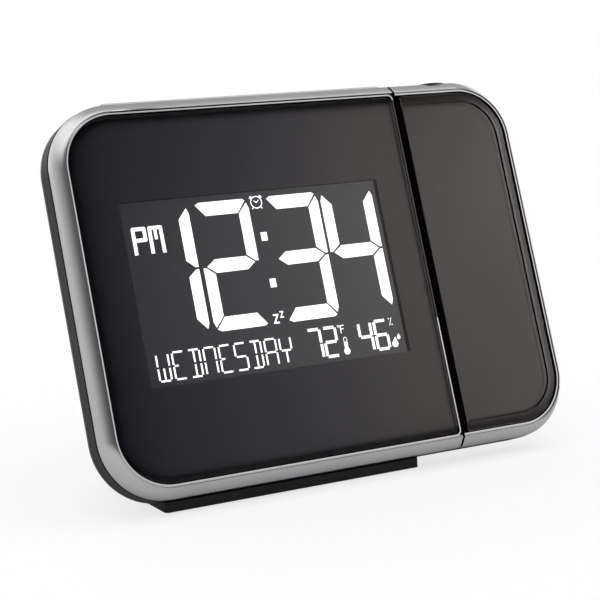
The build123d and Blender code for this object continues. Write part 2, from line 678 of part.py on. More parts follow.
TRAY_LEFT = MIDDLE - TRAY_HALF_L
TRAY_RIGHT = MIDDLE + TRAY_HALF_L


def tray_outline(depth, grow=0.0, corner_r=0.0):
    low = TRAY_LOW - grow
    return panel(depth, TRAY_LEFT - grow, TRAY_RIGHT + grow, low, TRAY_TOP + grow, corner_r, corner_r)


with BuildPart() as rear_cover:
    extrude(main_outline(FRAME_BACK, PARTING_OUT, PARTING_OUT), amount=-PARTING_W)
    extrude(main_outline(RIM_START, HOUSING_OUT, HOUSING_OUT), amount=RIM_START - RIM_ROUND[0][0])
    loft([main_outline(depth, out, out) for depth, out in RIM_ROUND], ruled=True)
    add(hump_body.part)
    add(cover_core.part, mode=Mode.SUBTRACT)
    # battery tray, open to the rear behind its door
    extrude(tray_outline(TRAY_FLOOR - TRAY_WALL, TRAY_WALL), amount=TRAY_FLOOR - TRAY_WALL - HUMP_INSIDE)
    extrude(tray_outline(HUMP_BACK), amount=HUMP_BACK - TRAY_FLOOR, mode=Mode.SUBTRACT)
    door_hole = tray_outline(HUMP_BACK, DOOR_LEDGE, DOOR_CORNER_R + DOOR_FIT)
    extrude(door_hole, amount=DOOR_T + RUN, mode=Mode.SUBTRACT)
    # bosses for the foot's screws
    extrude(discs(Plane.XY.offset(POCKET_TOP), FOOT_SCREWS, FOOT_BOSS_R), amount=FOOT_BOSS_H)
    foot_pilots = discs(Plane.XY.offset(POCKET_TOP), FOOT_SCREWS, PILOT_R)
    extrude(foot_pilots, amount=FOOT_BOSS_H - WEB_T, mode=Mode.SUBTRACT)
    # holes for the controls, the jack, the sounder and the sensor
    for x in BUTTON_X:
        with BuildSketch(spot(x, BUTTON_U, DECK_BACK)):
            RectangleRounded(BUTTON_W + 2 * LOOSE, BUTTON_H + 2 * LOOSE, BUTTON_H / 2)
        extrude(amount=HUMP_WALL, mode=Mode.SUBTRACT)
    knob_way = SWITCH_KNOB_W + SWITCH_TRAVEL + 2 * LOOSE
    knob_slot = centred(DECK_BACK, MIDDLE - SWITCH_X, CONTROL_U, knob_way, SWITCH_KNOB_H + 2 * LOOSE)
    extrude(knob_slot, amount=HUMP_WALL, mode=Mode.SUBTRACT)
    jack_hole = disc(spot(MIDDLE + JACK_X, CONTROL_U, DECK_BACK), JACK_R + FIT)
    extrude(jack_hole, amount=HUMP_WALL, mode=Mode.SUBTRACT)
    for row in (-1, 0, 1):
        sound_slot = centred(DECK_BACK, MIDDLE - BUZZER_X, CONTROL_U + BUZZER_PITCH * row, SLOT_L, SLOT_W)
        extrude(sound_slot, amount=HUMP_WALL, mode=Mode.SUBTRACT)
        vent_u = BUTTON_U - SENSOR_DOWN + VENT_PITCH * row
        vent = centred(DECK_BACK, SENSOR_X, vent_u, VENT_L, VENT_W)
        extrude(vent, amount=HUMP_WALL, mode=Mode.SUBTRACT)
    for x, u in COVER_SCREWS:
        extrude(disc(spot(x, u, COVER_INSIDE), COVER_BOSS_R), amount=COVER_INSIDE - FRAME_BACK)
        extrude(disc(spot(x, u, RIM_BACK), SCREW_HEAD_R + FIT), amount=SCREW_HEAD_H, mode=Mode.SUBTRACT)
        extrude(disc(spot(x, u, RIM_BACK), SCREW_HOLE_R), amount=RIM_BACK - FRAME_BACK, mode=Mode.SUBTRACT)
    add(snooze_way.part, mode=Mode.SUBTRACT)
    extrude(disc(across(MAIN_INNER_RIGHT), BUSH_R + FIT), amount=SPLIT_WALL, mode=Mode.SUBTRACT)
    add(foot_pocket.part, mode=Mode.SUBTRACT)
rear_cover.part.label = "rear_cover"
export_step(rear_cover.part, "parts/rear_cover.step")

with BuildPart() as cover_screws:
    for x, u in COVER_SCREWS:
        add(screw(spot(x, u, RIM_BACK - SCREW_HEAD_H, INWARD), SCREW_L))
cover_screws.part.label = "cover_screws"
export_step(cover_screws.part, "parts/cover_screws.step")

with BuildPart() as snooze_bar:
    bar = panel(SNOOZE_FRONT, SNOOZE_LEFT, SNOOZE_RIGHT, SNOOZE_LOW, SNOOZE_TOP)
    extrude(bar, amount=SNOOZE_FRONT - SNOOZE_BACK)
    fillet(snooze_bar.faces().sort_by(UPWARD_AXIS)[-1].edges(), SNOOZE_EDGE_R)
    stem_front = BOARD_FRONT - TACT_GAP - SNOOZE_STEM_T
    stem_left = MIDDLE - SNOOZE_STEM_W / 2
    stem = panel(stem_front, stem_left, stem_left + SNOOZE_STEM_W, STEM_LOW, SNOOZE_LOW)
    extrude(stem, amount=-SNOOZE_STEM_T)
snooze_bar.part.label = "snooze_bar"
export_step(snooze_bar.part, "parts/snooze_bar.step")

# ==== Main half: board and controls ====

with BuildPart() as main_board:
    board = panel(BOARD_FRONT, BOARD_LEFT, BOARD_RIGHT, BOARD_LOW, BOARD_TOP, BOARD_CORNER_R, BOARD_CORNER_R)
    extrude(board, amount=-BOARD_T)
    for x, u in BOARD_SCREWS:
        extrude(disc(spot(x, u, BOARD_FRONT), SCREW_HOLE_R), amount=-BOARD_T, mode=Mode.SUBTRACT)
main_board.part.label = "main_board"
export_step(main_board.part, "parts/main_board.step")

with BuildPart() as board_screws:
    for x, u in BOARD_SCREWS:
        add(screw(spot(x, u, BOARD_BACK, INWARD), BOARD_BACK - WEB_BACK))
board_screws.part.label = "board_screws"
export_step(board_screws.part, "parts/board_screws.step")

with BuildPart() as tact_switches:
    for x in BUTTON_X:
        extrude(centred(BOARD_BACK, x, BUTTON_U, TACT_W, TACT_W), amount=-TACT_T)
        extrude(disc(spot(x, BUTTON_U, TACT_BACK), TACT_CAP_R), amount=-TACT_CAP_T)
    # the snooze bar's switch lies on the board's front, with its cap upwards
    low_u = SNOOZE_TACT_TOP - TACT_W / 2
    extrude(centred(BOARD_FRONT, MIDDLE, low_u, TACT_W, TACT_W), amount=TACT_T)
    extrude(disc(along(SNOOZE_TACT_TOP, MIDDLE, BOARD_FRONT - TACT_T / 2), SNOOZE_CAP_R), amount=TACT_CAP_T)
tact_switches.part.label = "tact_switches"
export_step(tact_switches.part, "parts/tact_switches.step")

with BuildPart() as controller_chip:
    extrude(centred(BOARD_BACK, MIDDLE + CHIP_X, CONTROL_U, CHIP_W, CHIP_W), amount=-CHIP_T)
controller_chip.part.label = "controller_chip"
export_step(controller_chip.part, "parts/controller_chip.step")

with BuildPart() as buzzer:
    extrude(disc(spot(MIDDLE - BUZZER_X, CONTROL_U, BOARD_BACK), BUZZER_R), amount=-BUZZER_T)
    sound_hole = disc(spot(MIDDLE - BUZZER_X, CONTROL_U, BOARD_BACK + BUZZER_T), BUZZER_HOLE_R)
    extrude(sound_hole, amount=BUZZER_HOLE_D, mode=Mode.SUBTRACT)
buzzer.part.label = "buzzer"
export_step(buzzer.part, "parts/buzzer.step")

with BuildPart() as climate_sensor:
    sensor_u = BUTTON_U - SENSOR_DOWN
    extrude(centred(BOARD_BACK, SENSOR_X, sensor_u, SENSOR_W, SENSOR_W), amount=-SENSOR_T)
climate_sensor.part.label = "climate_sensor"
export_step(climate_sensor.part, "parts/climate_sensor.step")

with BuildPart() as slide_switch_body:
    body = centred(BOARD_BACK, MIDDLE - SWITCH_X, CONTROL_U, SWITCH_BODY_W, SWITCH_BODY_H)
    extrude(body, amount=-SWITCH_BODY_T)
slide_switch_body.part.label = "slide_switch_body"
export_step(slide_switch_body.part, "parts/slide_switch_body.step")

with BuildPart() as alarm_switch_knob:
    knob_x = MIDDLE - SWITCH_X - SWITCH_TRAVEL / 2
    knob_front = BOARD_BACK + SWITCH_BODY_T + TACT_GAP
    knob_back = DECK_BACK + SWITCH_KNOB_PROUD
    knob = centred(knob_front, knob_x, CONTROL_U, SWITCH_KNOB_W, SWITCH_KNOB_H)
    extrude(knob, amount=knob_front - knob_back)
    for step in (-1, 0, 1):
        rib = centred(knob_back, knob_x + step * RIB_PITCH, CONTROL_U, RIB_W, SWITCH_KNOB_H)
        extrude(rib, amount=RIB_D, mode=Mode.SUBTRACT)
alarm_switch_knob.part.label = "alarm_switch_knob"
export_step(alarm_switch_knob.part, "parts/alarm_switch_knob.step")

with BuildPart() as dc_jack:
    jack_x = MIDDLE + JACK_X
    extrude(centred(BOARD_BACK, jack_x, CONTROL_U, JACK_W, JACK_W), amount=BOARD_BACK + FIT - DECK_INSIDE)
    jack_end = spot(jack_x, CONTROL_U, DECK_BACK)
    extrude(disc(jack_end, JACK_R), amount=DECK_BACK - BOARD_BACK)
    extrude(disc(jack_end, JACK_BORE_R), amount=JACK_DEEP, mode=Mode.SUBTRACT)
    extrude(disc(spot(jack_x, CONTROL_U, DECK_BACK - JACK_PIN_SET), JACK_PIN_R), amount=JACK_DEEP)
dc_jack.part.label = "dc_jack"
export_step(dc_jack.part, "parts/dc_jack.step")

for name, x in zip(BUTTONS, BUTTON_X):
    button_back = DECK_BACK + BUTTON_PROUD
    flange_w = BUTTON_W + 2 * BUTTON_FLANGE
    flange_h = BUTTON_H + 2 * BUTTON_FLANGE
    with BuildPart() as button:
        extrude(centred(FLANGE_BACK, x, BUTTON_U, flange_w, flange_h), amount=BUTTON_FLANGE_T)
        with BuildSketch(spot(x, BUTTON_U, FLANGE_BACK)):
            RectangleRounded(BUTTON_W, BUTTON_H, BUTTON_H / 2 - LOOSE)
        extrude(amount=FLANGE_BACK - button_back)
        chamfer(button.faces().sort_by(INWARD_AXIS)[-1].edges(), BUTTON_BEVEL)
        if name in ("button_plus", "button_minus"):
            extrude(centred(button_back, x, BUTTON_U, MARK_L, MARK_W), amount=MARK_D, mode=Mode.SUBTRACT)
        if name == "button_plus":
            extrude(centred(button_back, x, BUTTON_U, MARK_W, MARK_L), amount=MARK_D, mode=Mode.SUBTRACT)
    button.part.label = name
    export_step(button.part, f"parts/{name}.step")

# ==== Main half: batteries ====

for name, side in (("battery_upper", 1), ("battery_lower", -1)):
    cell_u = CELL_U + side * CELL_PITCH / 2
    spring_end = MIDDLE - side * (TRAY_HALF_L - CONTACT_T - SPRING_L)
    with BuildPart() as battery:
        extrude(disc(across(spring_end, cell_u, CELL_DEPTH), CELL_R), amount=side * CELL_L)
        nub = disc(across(spring_end + side * CELL_L, cell_u, CELL_DEPTH), CELL_NUB_R)
        extrude(nub, amount=side * CELL_NUB_L)
    battery.part.label = name
    export_step(battery.part, f"parts/{name}.step")

with BuildPart() as battery_springs:
    for side in (1, -1):
        cell_u = CELL_U + side * CELL_PITCH / 2
        spring_start = MIDDLE - side * (TRAY_HALF_L - CONTACT_T)
        base = disc(across(spring_start, cell_u, CELL_DEPTH), SPRING_R)
        tip = disc(across(spring_start + side * SPRING_L, cell_u, CELL_DEPTH), SPRING_TIP_R)
        loft([base, tip])
battery_springs.part.label = "battery_springs"
export_step(battery_springs.part, "parts/battery_springs.step")

with BuildPart() as battery_contacts:
    for side in (1, -1):
        cell_u = CELL_U + side * CELL_PITCH / 2
        for end in (1, -1):
            wall_x = MIDDLE - end * TRAY_HALF_L
            with BuildSketch(across(wall_x, cell_u, CELL_DEPTH)):
                Rectangle(CONTACT_W, CONTACT_W)
            extrude(amount=end * CONTACT_T)
            if end != side:
                dimple = disc(across(wall_x + end * CONTACT_T, cell_u, CELL_DEPTH), DIMPLE_R)
                extrude(dimple, amount=end * DIMPLE_L)
battery_contacts.part.label = "battery_contacts"
export_step(battery_contacts.part, "parts/battery_contacts.step")

with BuildPart() as battery_door:
    extrude(tray_outline(HUMP_BACK, DOOR_LEDGE - DOOR_FIT, DOOR_CORNER_R), amount=DOOR_T)
    for side in (-1, 1):
        lug_left = MIDDLE + (side * LUG_PITCH - LUG_W) / 2
        lug_top = TRAY_TOP - LOOSE
        extrude(panel(DOOR_FRONT, lug_left, lug_left + LUG_W, lug_top - LUG_T, lug_top), amount=LUG_D)
    for row in range(GRIP_ROWS):
        grip_u = TRAY_TOP - GRIP_DOWN - GRIP_PITCH * row
        grip = centred(HUMP_BACK, MIDDLE, grip_u, GRIP_L - GRIP_TAPER * row, GRIP_W)
        extrude(grip, amount=GRIP_D, mode=Mode.SUBTRACT)
battery_door.part.label = "battery_door"
export_step(battery_door.part, "parts/battery_door.step")

# ==== Foot ====

PAD_PITCH_X = 2 * (FOOT_HALF_W - PAD_INSET_X)
PAD_PITCH_Y = FOOT_DEEP - 2 * PAD_INSET_Y
PADS = [
    (MIDDLE + side * PAD_PITCH_X / 2, FOOT_Y + end * PAD_PITCH_Y / 2)
    for side in (-1, 1)
    for end in (-1, 1)
]
FOOT_LEVEL = Plane.XY.offset(PAD_PROUD)

with BuildPart() as stand_foot:
    extrude(foot_outline(FOOT_LEVEL), amount=FOOT_T)
    extrude(discs(FOOT_LEVEL, PADS, PAD_R + RUN), amount=PAD_SEAT, mode=Mode.SUBTRACT)
    head_room = discs(FOOT_LEVEL, FOOT_SCREWS, SCREW_HEAD_R + FIT)
    extrude(head_room, amount=SCREW_HEAD_H + FIT, mode=Mode.SUBTRACT)
    extrude(discs(FOOT_LEVEL, FOOT_SCREWS, SCREW_HOLE_R), amount=FOOT_T, mode=Mode.SUBTRACT)
stand_foot.part.label = "stand_foot"
export_step(stand_foot.part, "parts/stand_foot.step")

with BuildPart() as foot_pads:
    extrude(discs(Plane.XY, PADS, PAD_R), amount=PAD_PROUD + PAD_SEAT)
foot_pads.part.label = "foot_pads"
export_step(foot_pads.part, "parts/foot_pads.step")

with BuildPart() as foot_screws:
    for x, y in FOOT_SCREWS:
        seat = Plane(origin=(x, y, PAD_PROUD + SCREW_HEAD_H + FIT), x_dir=(1, 0, 0), z_dir=(0, 0, -1))
        add(screw(seat, SCREW_L))
foot_screws.part.label = "foot_screws"
export_step(foot_screws.part, "parts/foot_screws.step")

# ==== Axle ====

with BuildPart() as pivot_bush:
    extrude(disc(across(BUSH_LEFT), BUSH_R, SHAFT_R + RUN), amount=SPLIT_X - BUSH_SHORT - BUSH_LEFT)
    extrude(disc(across(BUSH_LEFT), BUSH_FLANGE_R, SHAFT_R + RUN), amount=BUSH_FLANGE_T)
pivot_bush.part.label = "pivot_bush"
export_step(pivot_bush.part, "parts/pivot_bush.step")

with BuildPart() as friction_washer:
    extrude(disc(across(WASHER_LEFT), WASHER_R, SHAFT_R + RUN), amount=WASHER_T)
friction_washer.part.label = "friction_washer"
export_step(friction_washer.part, "parts/friction_washer.step")

with BuildPart() as retaining_clip:
    extrude(disc(across(CLIP_LEFT), CLIP_R, SHAFT_R - CLIP_SEAT + SNUG), amount=CLIP_T)
    with BuildSketch(across(CLIP_LEFT)):
        with Locations((-CLIP_R, 0)):
            Rectangle(2 * CLIP_R, CLIP_MOUTH)
    extrude(amount=CLIP_T, mode=Mode.SUBTRACT)
retaining_clip.part.label = "retaining_clip"
export_step(retaining_clip.part, "parts/retaining_clip.step")

with BuildPart() as pivot_shaft:
    flange_left = ARM_INNER_LEFT + RUN
    flange_right = flange_left + AXLE_FLANGE_T
    extrude(disc(across(SHAFT_LEFT), SHAFT_R), amount=flange_left - SHAFT_LEFT)
    extrude(disc(across(flange_left), AXLE_FLANGE_R), amount=AXLE_FLANGE_T)
    extrude(disc(across(SHAFT_LEFT), SHAFT_BORE_R), amount=flange_right - SHAFT_LEFT, mode=Mode.SUBTRACT)
    seat = disc(across(CLIP_LEFT - SNUG), AXLE_FLANGE_R, SHAFT_R - CLIP_SEAT)
    extrude(seat, amount=CLIP_T + 2 * SNUG, mode=Mode.SUBTRACT)
pivot_shaft.part.label = "pivot_shaft"
export_step(pivot_shaft.part, "parts/pivot_shaft.step")

with BuildPart() as projector_lead:
    extrude(disc(across(SHAFT_LEFT), LEAD_R), amount=LEAD_RIGHT - SHAFT_LEFT)
projector_lead.part.label = "projector_lead"
export_step(projector_lead.part, "parts/projector_lead.step")

# ==== Arm: face and housing ====

with BuildPart() as ring_way:
    extrude(oval(along(RING_LOW - FIT), FIT), amount=2 * RING_H)
    extrude(disc(along(BARREL_TOP - RING_H), BARREL_R + FIT), amount=RING_H)

with BuildPart() as arm_bezel:
    band = [arm_outline(0, BAND_OUT, BAND_OUT)]
    band += [arm_outline(depth, side, edge) for depth, side, edge in BEZEL_BAND]
    loft(band, ruled=True)
    extrude(arm_outline(0, BAND_OUT, BAND_OUT), amount=-GROOVE_D, mode=Mode.SUBTRACT)
    extrude(arm_outline(0, LIP_OUT, LIP_OUT), amount=-GROOVE_D)
    extrude(arm_outline(0, FIT, FIT), amount=-SEAT_DEPTH, mode=Mode.SUBTRACT)
    extrude(arm_outline(0, -LEDGE, -LEDGE), amount=-BEZEL_D, mode=Mode.SUBTRACT)
    add(ring_way.part, mode=Mode.SUBTRACT)
arm_bezel.part.label = "arm_bezel"
export_step(arm_bezel.part, "parts/arm_bezel.step")

with BuildPart() as arm_lens:
    lens_foot = arm_outline(LENS_SHOULDER, 0, 0, ARM_LENS_LEFT, LENS_INNER_R)
    lens_top = arm_outline(LENS_SET, -LENS_ROLL, -LENS_ROLL, ARM_LENS_LEFT + LENS_END_ROLL, LENS_INNER_R)
    loft([lens_foot, lens_top], ruled=True)
    extrude(lens_foot, amount=LENS_ROLL_DROP - LENS_T)
arm_lens.part.label = "arm_lens"
export_step(arm_lens.part, "parts/arm_lens.step")

with BuildPart() as arm_mask:
    extrude(arm_outline(MASK_FRONT, 0, 0, ARM_LENS_LEFT, LENS_INNER_R), amount=-MASK_T)
arm_mask.part.label = "arm_mask"
export_step(arm_mask.part, "parts/arm_mask.step")

with BuildPart() as arm_frame:
    extrude(arm_outline(BEZEL_D, NECK_OUT, NECK_OUT), amount=-NECK_D)
    extrude(arm_outline(RING_FRONT, HOUSING_OUT, HOUSING_OUT), amount=RING_FRONT - FRAME_BACK)
    arm_room = arm_outline(BEZEL_D, INNER_OUT, INNER_OUT, ARM_INNER_LEFT)
    extrude(arm_room, amount=BEZEL_D - FRAME_BACK, mode=Mode.SUBTRACT)
    # the black bar that closes the arm beside the split
    bar = panel(ARM_BAR_SET, ARM_LEFT, ARM_LENS_LEFT - FIT, -LENS_HALF_H, LENS_HALF_H)
    extrude(bar, amount=ARM_BAR_SET - SEAT_DEPTH)
    bar_high = LENS_HALF_H - LEDGE - FIT
    extrude(panel(SEAT_DEPTH, ARM_LEFT, ARM_INNER_LEFT, -bar_high, bar_high), amount=SEAT_DEPTH - FRAME_BACK)
    for x, u in ARM_SCREWS:
        extrude(disc(spot(x, u, FRAME_BACK), ARM_BOSS_R), amount=FRAME_BACK - RING_FRONT)
        extrude(disc(spot(x, u, FRAME_BACK), PILOT_R), amount=FRAME_BACK - WEB_BACK, mode=Mode.SUBTRACT)
    extrude(disc(across(ARM_LEFT), SHAFT_R + SNUG), amount=ARM_WALL, mode=Mode.SUBTRACT)
    add(ring_way.part, mode=Mode.SUBTRACT)
arm_frame.part.label = "arm_frame"
export_step(arm_frame.part, "parts/arm_frame.step")

with BuildPart() as arm_rear_cover:
    extrude(arm_outline(FRAME_BACK, PARTING_OUT, PARTING_OUT), amount=-PARTING_W)
    extrude(arm_outline(RIM_START, HOUSING_OUT, HOUSING_OUT), amount=RIM_START - RIM_ROUND[0][0])
    loft([arm_outline(depth, out, out) for depth, out in RIM_ROUND], ruled=True)
    arm_core = arm_outline(FRAME_BACK, INNER_OUT, INNER_OUT, ARM_INNER_LEFT)
    extrude(arm_core, amount=FRAME_BACK - COVER_INSIDE, mode=Mode.SUBTRACT)
    # posts behind the board, and a saddle behind the barrel
    board_back = OPTIC_DEPTH + ARM_BOARD_T
    for x in (LEAD_RIGHT + ARM_POST_IN, LENS_HALF_W - ARM_BOARD_RIGHT - ARM_POST_IN):
        post = disc(spot(x, ARM_BOARD_LOW + ARM_POST_UP, COVER_INSIDE), ARM_POST_R)
        extrude(post, amount=COVER_INSIDE - board_back)
    saddle = centred(COVER_INSIDE, OPTIC_X, BARREL_LOW + SADDLE_W, SADDLE_W, SADDLE_W)
    extrude(saddle, amount=COVER_INSIDE - BARREL_BACK - RUN)
    for x, u in ARM_SCREWS:
        extrude(disc(spot(x, u, COVER_INSIDE), ARM_BOSS_R), amount=COVER_INSIDE - RIM_START)
        extrude(disc(spot(x, u, RIM_BACK), SCREW_HEAD_R + FIT), amount=SCREW_HEAD_H, mode=Mode.SUBTRACT)
        extrude(disc(spot(x, u, RIM_BACK), SCREW_HOLE_R), amount=RIM_BACK - FRAME_BACK, mode=Mode.SUBTRACT)
    stem_hole = disc(spot(OPTIC_X, FOCUS_U, RIM_BACK), FOCUS_STEM_R + FIT)
    extrude(stem_hole, amount=COVER_WALL, mode=Mode.SUBTRACT)
    add(ring_way.part, mode=Mode.SUBTRACT)
arm_rear_cover.part.label = "arm_rear_cover"
export_step(arm_rear_cover.part, "parts/arm_rear_cover.step")

with BuildPart() as arm_screws:
    for x, u in ARM_SCREWS:
        add(screw(spot(x, u, RIM_BACK - SCREW_HEAD_H, INWARD), SCREW_L))
arm_screws.part.label = "arm_screws"
export_step(arm_screws.part, "parts/arm_screws.step")

# ==== Arm: projector ====

with BuildPart() as projector_ring:
    extrude(oval(along(RING_LOW)), amount=RING_H)
    chamfer(projector_ring.faces().sort_by(UPWARD_AXIS)[-1].edges(), RING_BEVEL)
    dish_low = disc(along(RING_TOP - RING_DISH), BARREL_BORE_R)
    dish_top = disc(along(RING_TOP), RING_HALF_D - RING_BEVEL - RING_FLAT)
    loft([dish_low, dish_top], ruled=True, mode=Mode.SUBTRACT)
    extrude(disc(along(RING_LOW), BARREL_BORE_R), amount=RING_H, mode=Mode.SUBTRACT)
projector_ring.part.label = "projector_ring"
export_step(projector_ring.part, "parts/projector_ring.step")

with BuildPart() as lens_barrel:
    extrude(disc(along(BARREL_LOW), BARREL_R, BARREL_BORE_R), amount=BARREL_L)
    pin_way = centred(BARREL_BACK, OPTIC_X, FOCUS_U, FOCUS_WAY, FOCUS_WAY)
    extrude(pin_way, amount=BARREL_R / 2, mode=Mode.SUBTRACT)
lens_barrel.part.label = "lens_barrel"
export_step(lens_barrel.part, "parts/lens_barrel.step")

with BuildPart() as lens_cell:
    extrude(disc(along(CELL_TUBE_LOW), CELL_TUBE_R, CELL_TUBE_BORE_R), amount=CELL_TUBE_L)
    fork = centred(OPTIC_DEPTH + CELL_TUBE_R, OPTIC_X, FOCUS_U, FOCUS_WAY, 2 * (FOCUS_PIN_R + FOCUS_PIN_PLAY))
    extrude(fork, amount=CELL_TUBE_R / 2, mode=Mode.SUBTRACT)
lens_cell.part.label = "lens_cell"
export_step(lens_cell.part, "parts/lens_cell.step")

with BuildPart() as projection_lens:
    add(lens_piece(CELL_TUBE_TOP - LENS_PIECE_SET - LENS_PIECE_T, CELL_TUBE_BORE_R - SNUG))
projection_lens.part.label = "projection_lens"
export_step(projection_lens.part, "parts/projection_lens.step")

with BuildPart() as condenser_lens:
    add(lens_piece(BARREL_LOW + CONDENSER_UP, BARREL_BORE_R - SNUG))
condenser_lens.part.label = "condenser_lens"
export_step(condenser_lens.part, "parts/condenser_lens.step")

with BuildPart() as time_slide:
    extrude(disc(along(BARREL_LOW + SLIDE_UP), BARREL_BORE_R - SNUG), amount=SLIDE_T)
time_slide.part.label = "time_slide"
export_step(time_slide.part, "parts/time_slide.step")

with BuildPart() as arm_board:
    board_right = LENS_HALF_W - ARM_BOARD_RIGHT
    extrude(panel(OPTIC_DEPTH, LEAD_RIGHT, board_right, ARM_BOARD_LOW, ARM_BOARD_TOP), amount=-ARM_BOARD_T)
arm_board.part.label = "arm_board"
export_step(arm_board.part, "parts/arm_board.step")

with BuildPart() as projection_led:
    extrude(disc(along(ARM_BOARD_TOP), LED_R), amount=LED_L)
    fillet(projection_led.faces().sort_by(UPWARD_AXIS)[-1].edges(), LED_DOME_R)
projection_led.part.label = "projection_led"
export_step(projection_led.part, "parts/projection_led.step")

with BuildPart() as focus_knob:
    knob_front = RIM_BACK + FOCUS_KNOB_GAP
    knob_face = spot(OPTIC_X, FOCUS_U, knob_front + FOCUS_KNOB_T)
    extrude(disc(knob_face, FOCUS_KNOB_R), amount=FOCUS_KNOB_T)
    with BuildSketch(knob_face):
        with PolarLocations(FOCUS_KNOB_R, KNURLS):
            Circle(KNURL_R)
    extrude(amount=FOCUS_KNOB_T, mode=Mode.SUBTRACT)
    extrude(disc(knob_face, KNOB_RING_R, KNOB_RING_R - KNOB_RING_W), amount=KNURL_R, mode=Mode.SUBTRACT)
    collar_front = BARREL_BACK + FOCUS_COLLAR_GAP
    extrude(disc(spot(OPTIC_X, FOCUS_U, collar_front), FOCUS_STEM_R), amount=collar_front - knob_front)
    collar = disc(spot(OPTIC_X, FOCUS_U, collar_front), FOCUS_COLLAR_R)
    extrude(collar, amount=collar_front + FIT - COVER_INSIDE)
    pin_tip = OPTIC_DEPTH + FOCUS_PIN_DEEP
    pin = disc(spot(OPTIC_X + FOCUS_THROW, FOCUS_U, collar_front), FOCUS_PIN_R)
    extrude(pin, amount=collar_front - pin_tip)
focus_knob.part.label = "focus_knob"
export_step(focus_knob.part, "parts/focus_knob.step")
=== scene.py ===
import bmesh
import bpy
import json
from itertools import groupby
from math import cos, hypot, radians, sin
from mathutils import Matrix, Vector


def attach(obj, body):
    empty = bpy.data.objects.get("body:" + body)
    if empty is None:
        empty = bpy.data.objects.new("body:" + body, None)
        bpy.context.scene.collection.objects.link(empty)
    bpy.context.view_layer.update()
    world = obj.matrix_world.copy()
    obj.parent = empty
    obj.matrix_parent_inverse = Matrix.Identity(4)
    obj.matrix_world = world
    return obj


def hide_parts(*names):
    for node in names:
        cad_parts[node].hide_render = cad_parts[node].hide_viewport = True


# Projection alarm clock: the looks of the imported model, and the studio round it.
# Places on the clock are written as the model has them, in millimetres in the face's own
# frame: x to the right, u up along the face, and depth backwards from the bezel's front.

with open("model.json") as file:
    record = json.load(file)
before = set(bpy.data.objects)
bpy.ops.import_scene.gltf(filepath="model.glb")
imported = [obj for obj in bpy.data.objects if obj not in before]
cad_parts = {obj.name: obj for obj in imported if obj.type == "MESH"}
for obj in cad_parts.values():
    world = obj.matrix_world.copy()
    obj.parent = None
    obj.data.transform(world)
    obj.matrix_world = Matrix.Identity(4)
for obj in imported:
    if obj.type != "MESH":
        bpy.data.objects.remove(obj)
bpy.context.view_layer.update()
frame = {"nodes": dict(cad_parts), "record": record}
nodes = frame["nodes"]

MM = 0.001

# ---- Sizes shared with the model ----
LEAN = radians(18.0)
FOOT_DROP = 49.95
FOOT_SETBACK = 6.5
FOOT_REACH = 30.0
PAD_PROUD = 0.4
LENS_HALF_W = 60.6
LENS_HALF_H = 43.75
LENS_CORNER_R = 12.2
LENS_SET = 0.05
LENS_T = 1.9
LENS_ROLL = 2.0
LENS_ROLL_DROP = 0.25
LENS_CROWN = 0.2  # how far the main lens falls off towards its rolled edge
LENS_CROWN_W = 10.0
LENS_INNER_R = 1.0
MASK_T = 0.15
SPLIT_X = 29.1
SPLIT_GAP = 0.65
MAIN_BAR = 0.7
ARM_BAR = 1.4
FIT = 0.1
LIP_W = 0.45
GROOVE_W = 0.35
GROOVE_D = 0.45
BAR_LIP_W = 0.3
LEDGE = 1.1
BEZEL_D = 5.0
LCD_FRONT = 4.25

SEAT_DEPTH = LENS_SET + LENS_T + MASK_T
MAIN_LENS_RIGHT = SPLIT_X - MAIN_BAR
ARM_LEFT = SPLIT_X + SPLIT_GAP
ARM_LENS_LEFT = ARM_LEFT + ARM_BAR
LIP_OUT = FIT + LIP_W
BAND_OUT = LIP_OUT + GROOVE_W
# how far the bezel's band stands outside the lens, by depth, at the sides and at top and bottom
BAND_DEPTHS = (0.0, 1.2, 2.4, 3.65, BEZEL_D)
BAND_SIDE = (BAND_OUT, 1.6, 2.45, 3.25, 3.4)
BAND_EDGE = (BAND_OUT, 2.25, 3.2, 3.4, 3.45)

FACE_Y = ((LENS_HALF_H + BAND_OUT) * sin(LEAN) - FOOT_REACH) / 2
FACE_Z = PAD_PROUD + FOOT_DROP * cos(LEAN) + FOOT_SETBACK * sin(LEAN)
OUTWARD = Vector((0, -cos(LEAN), sin(LEAN)))
UPWARD = Vector((0, sin(LEAN), cos(LEAN)))
RIGHT = Vector((1, 0, 0))
FACE_ORIGIN = Vector((0, FACE_Y, FACE_Z))


def at(x, u, depth):
    """A point of the face's frame, in metres in the row frame."""
    return (FACE_ORIGIN + RIGHT * x + UPWARD * u - OUTWARD * depth) * MM


def from_face(v):
    """A direction given along x, u and outwards, in the row frame."""
    return RIGHT * v.x + UPWARD * v.y + OUTWARD * v.z


# ---- Camera: fitted to the photo's straight edges, for a square picture ----
CAMERA_AT = (-195.97, -58.48, -361.85)  # x, u and depth, so in front of the face
CAMERA_RIGHT = Vector((0.88268, -0.19061, 0.42959))  # along x, u and outwards
CAMERA_UP = Vector((0.11238, 0.97315, 0.20087))
FOCAL = 101.98
SENSOR = 36.0
CLIP_START = 0.01

camera = bpy.data.objects.new("camera", bpy.data.cameras.new("camera"))
bpy.context.scene.collection.objects.link(camera)
camera.data.lens = FOCAL
camera.data.sensor_width = SENSOR
camera.data.clip_start = CLIP_START
side = from_face(CAMERA_RIGHT).normalized()
up = from_face(CAMERA_UP)
up = (up - side * up.dot(side)).normalized()
turned = Matrix((side, up, side.cross(up))).transposed().to_4x4()
camera.matrix_world = Matrix.Translation(at(*CAMERA_AT)) @ turned
bpy.context.scene.camera = camera


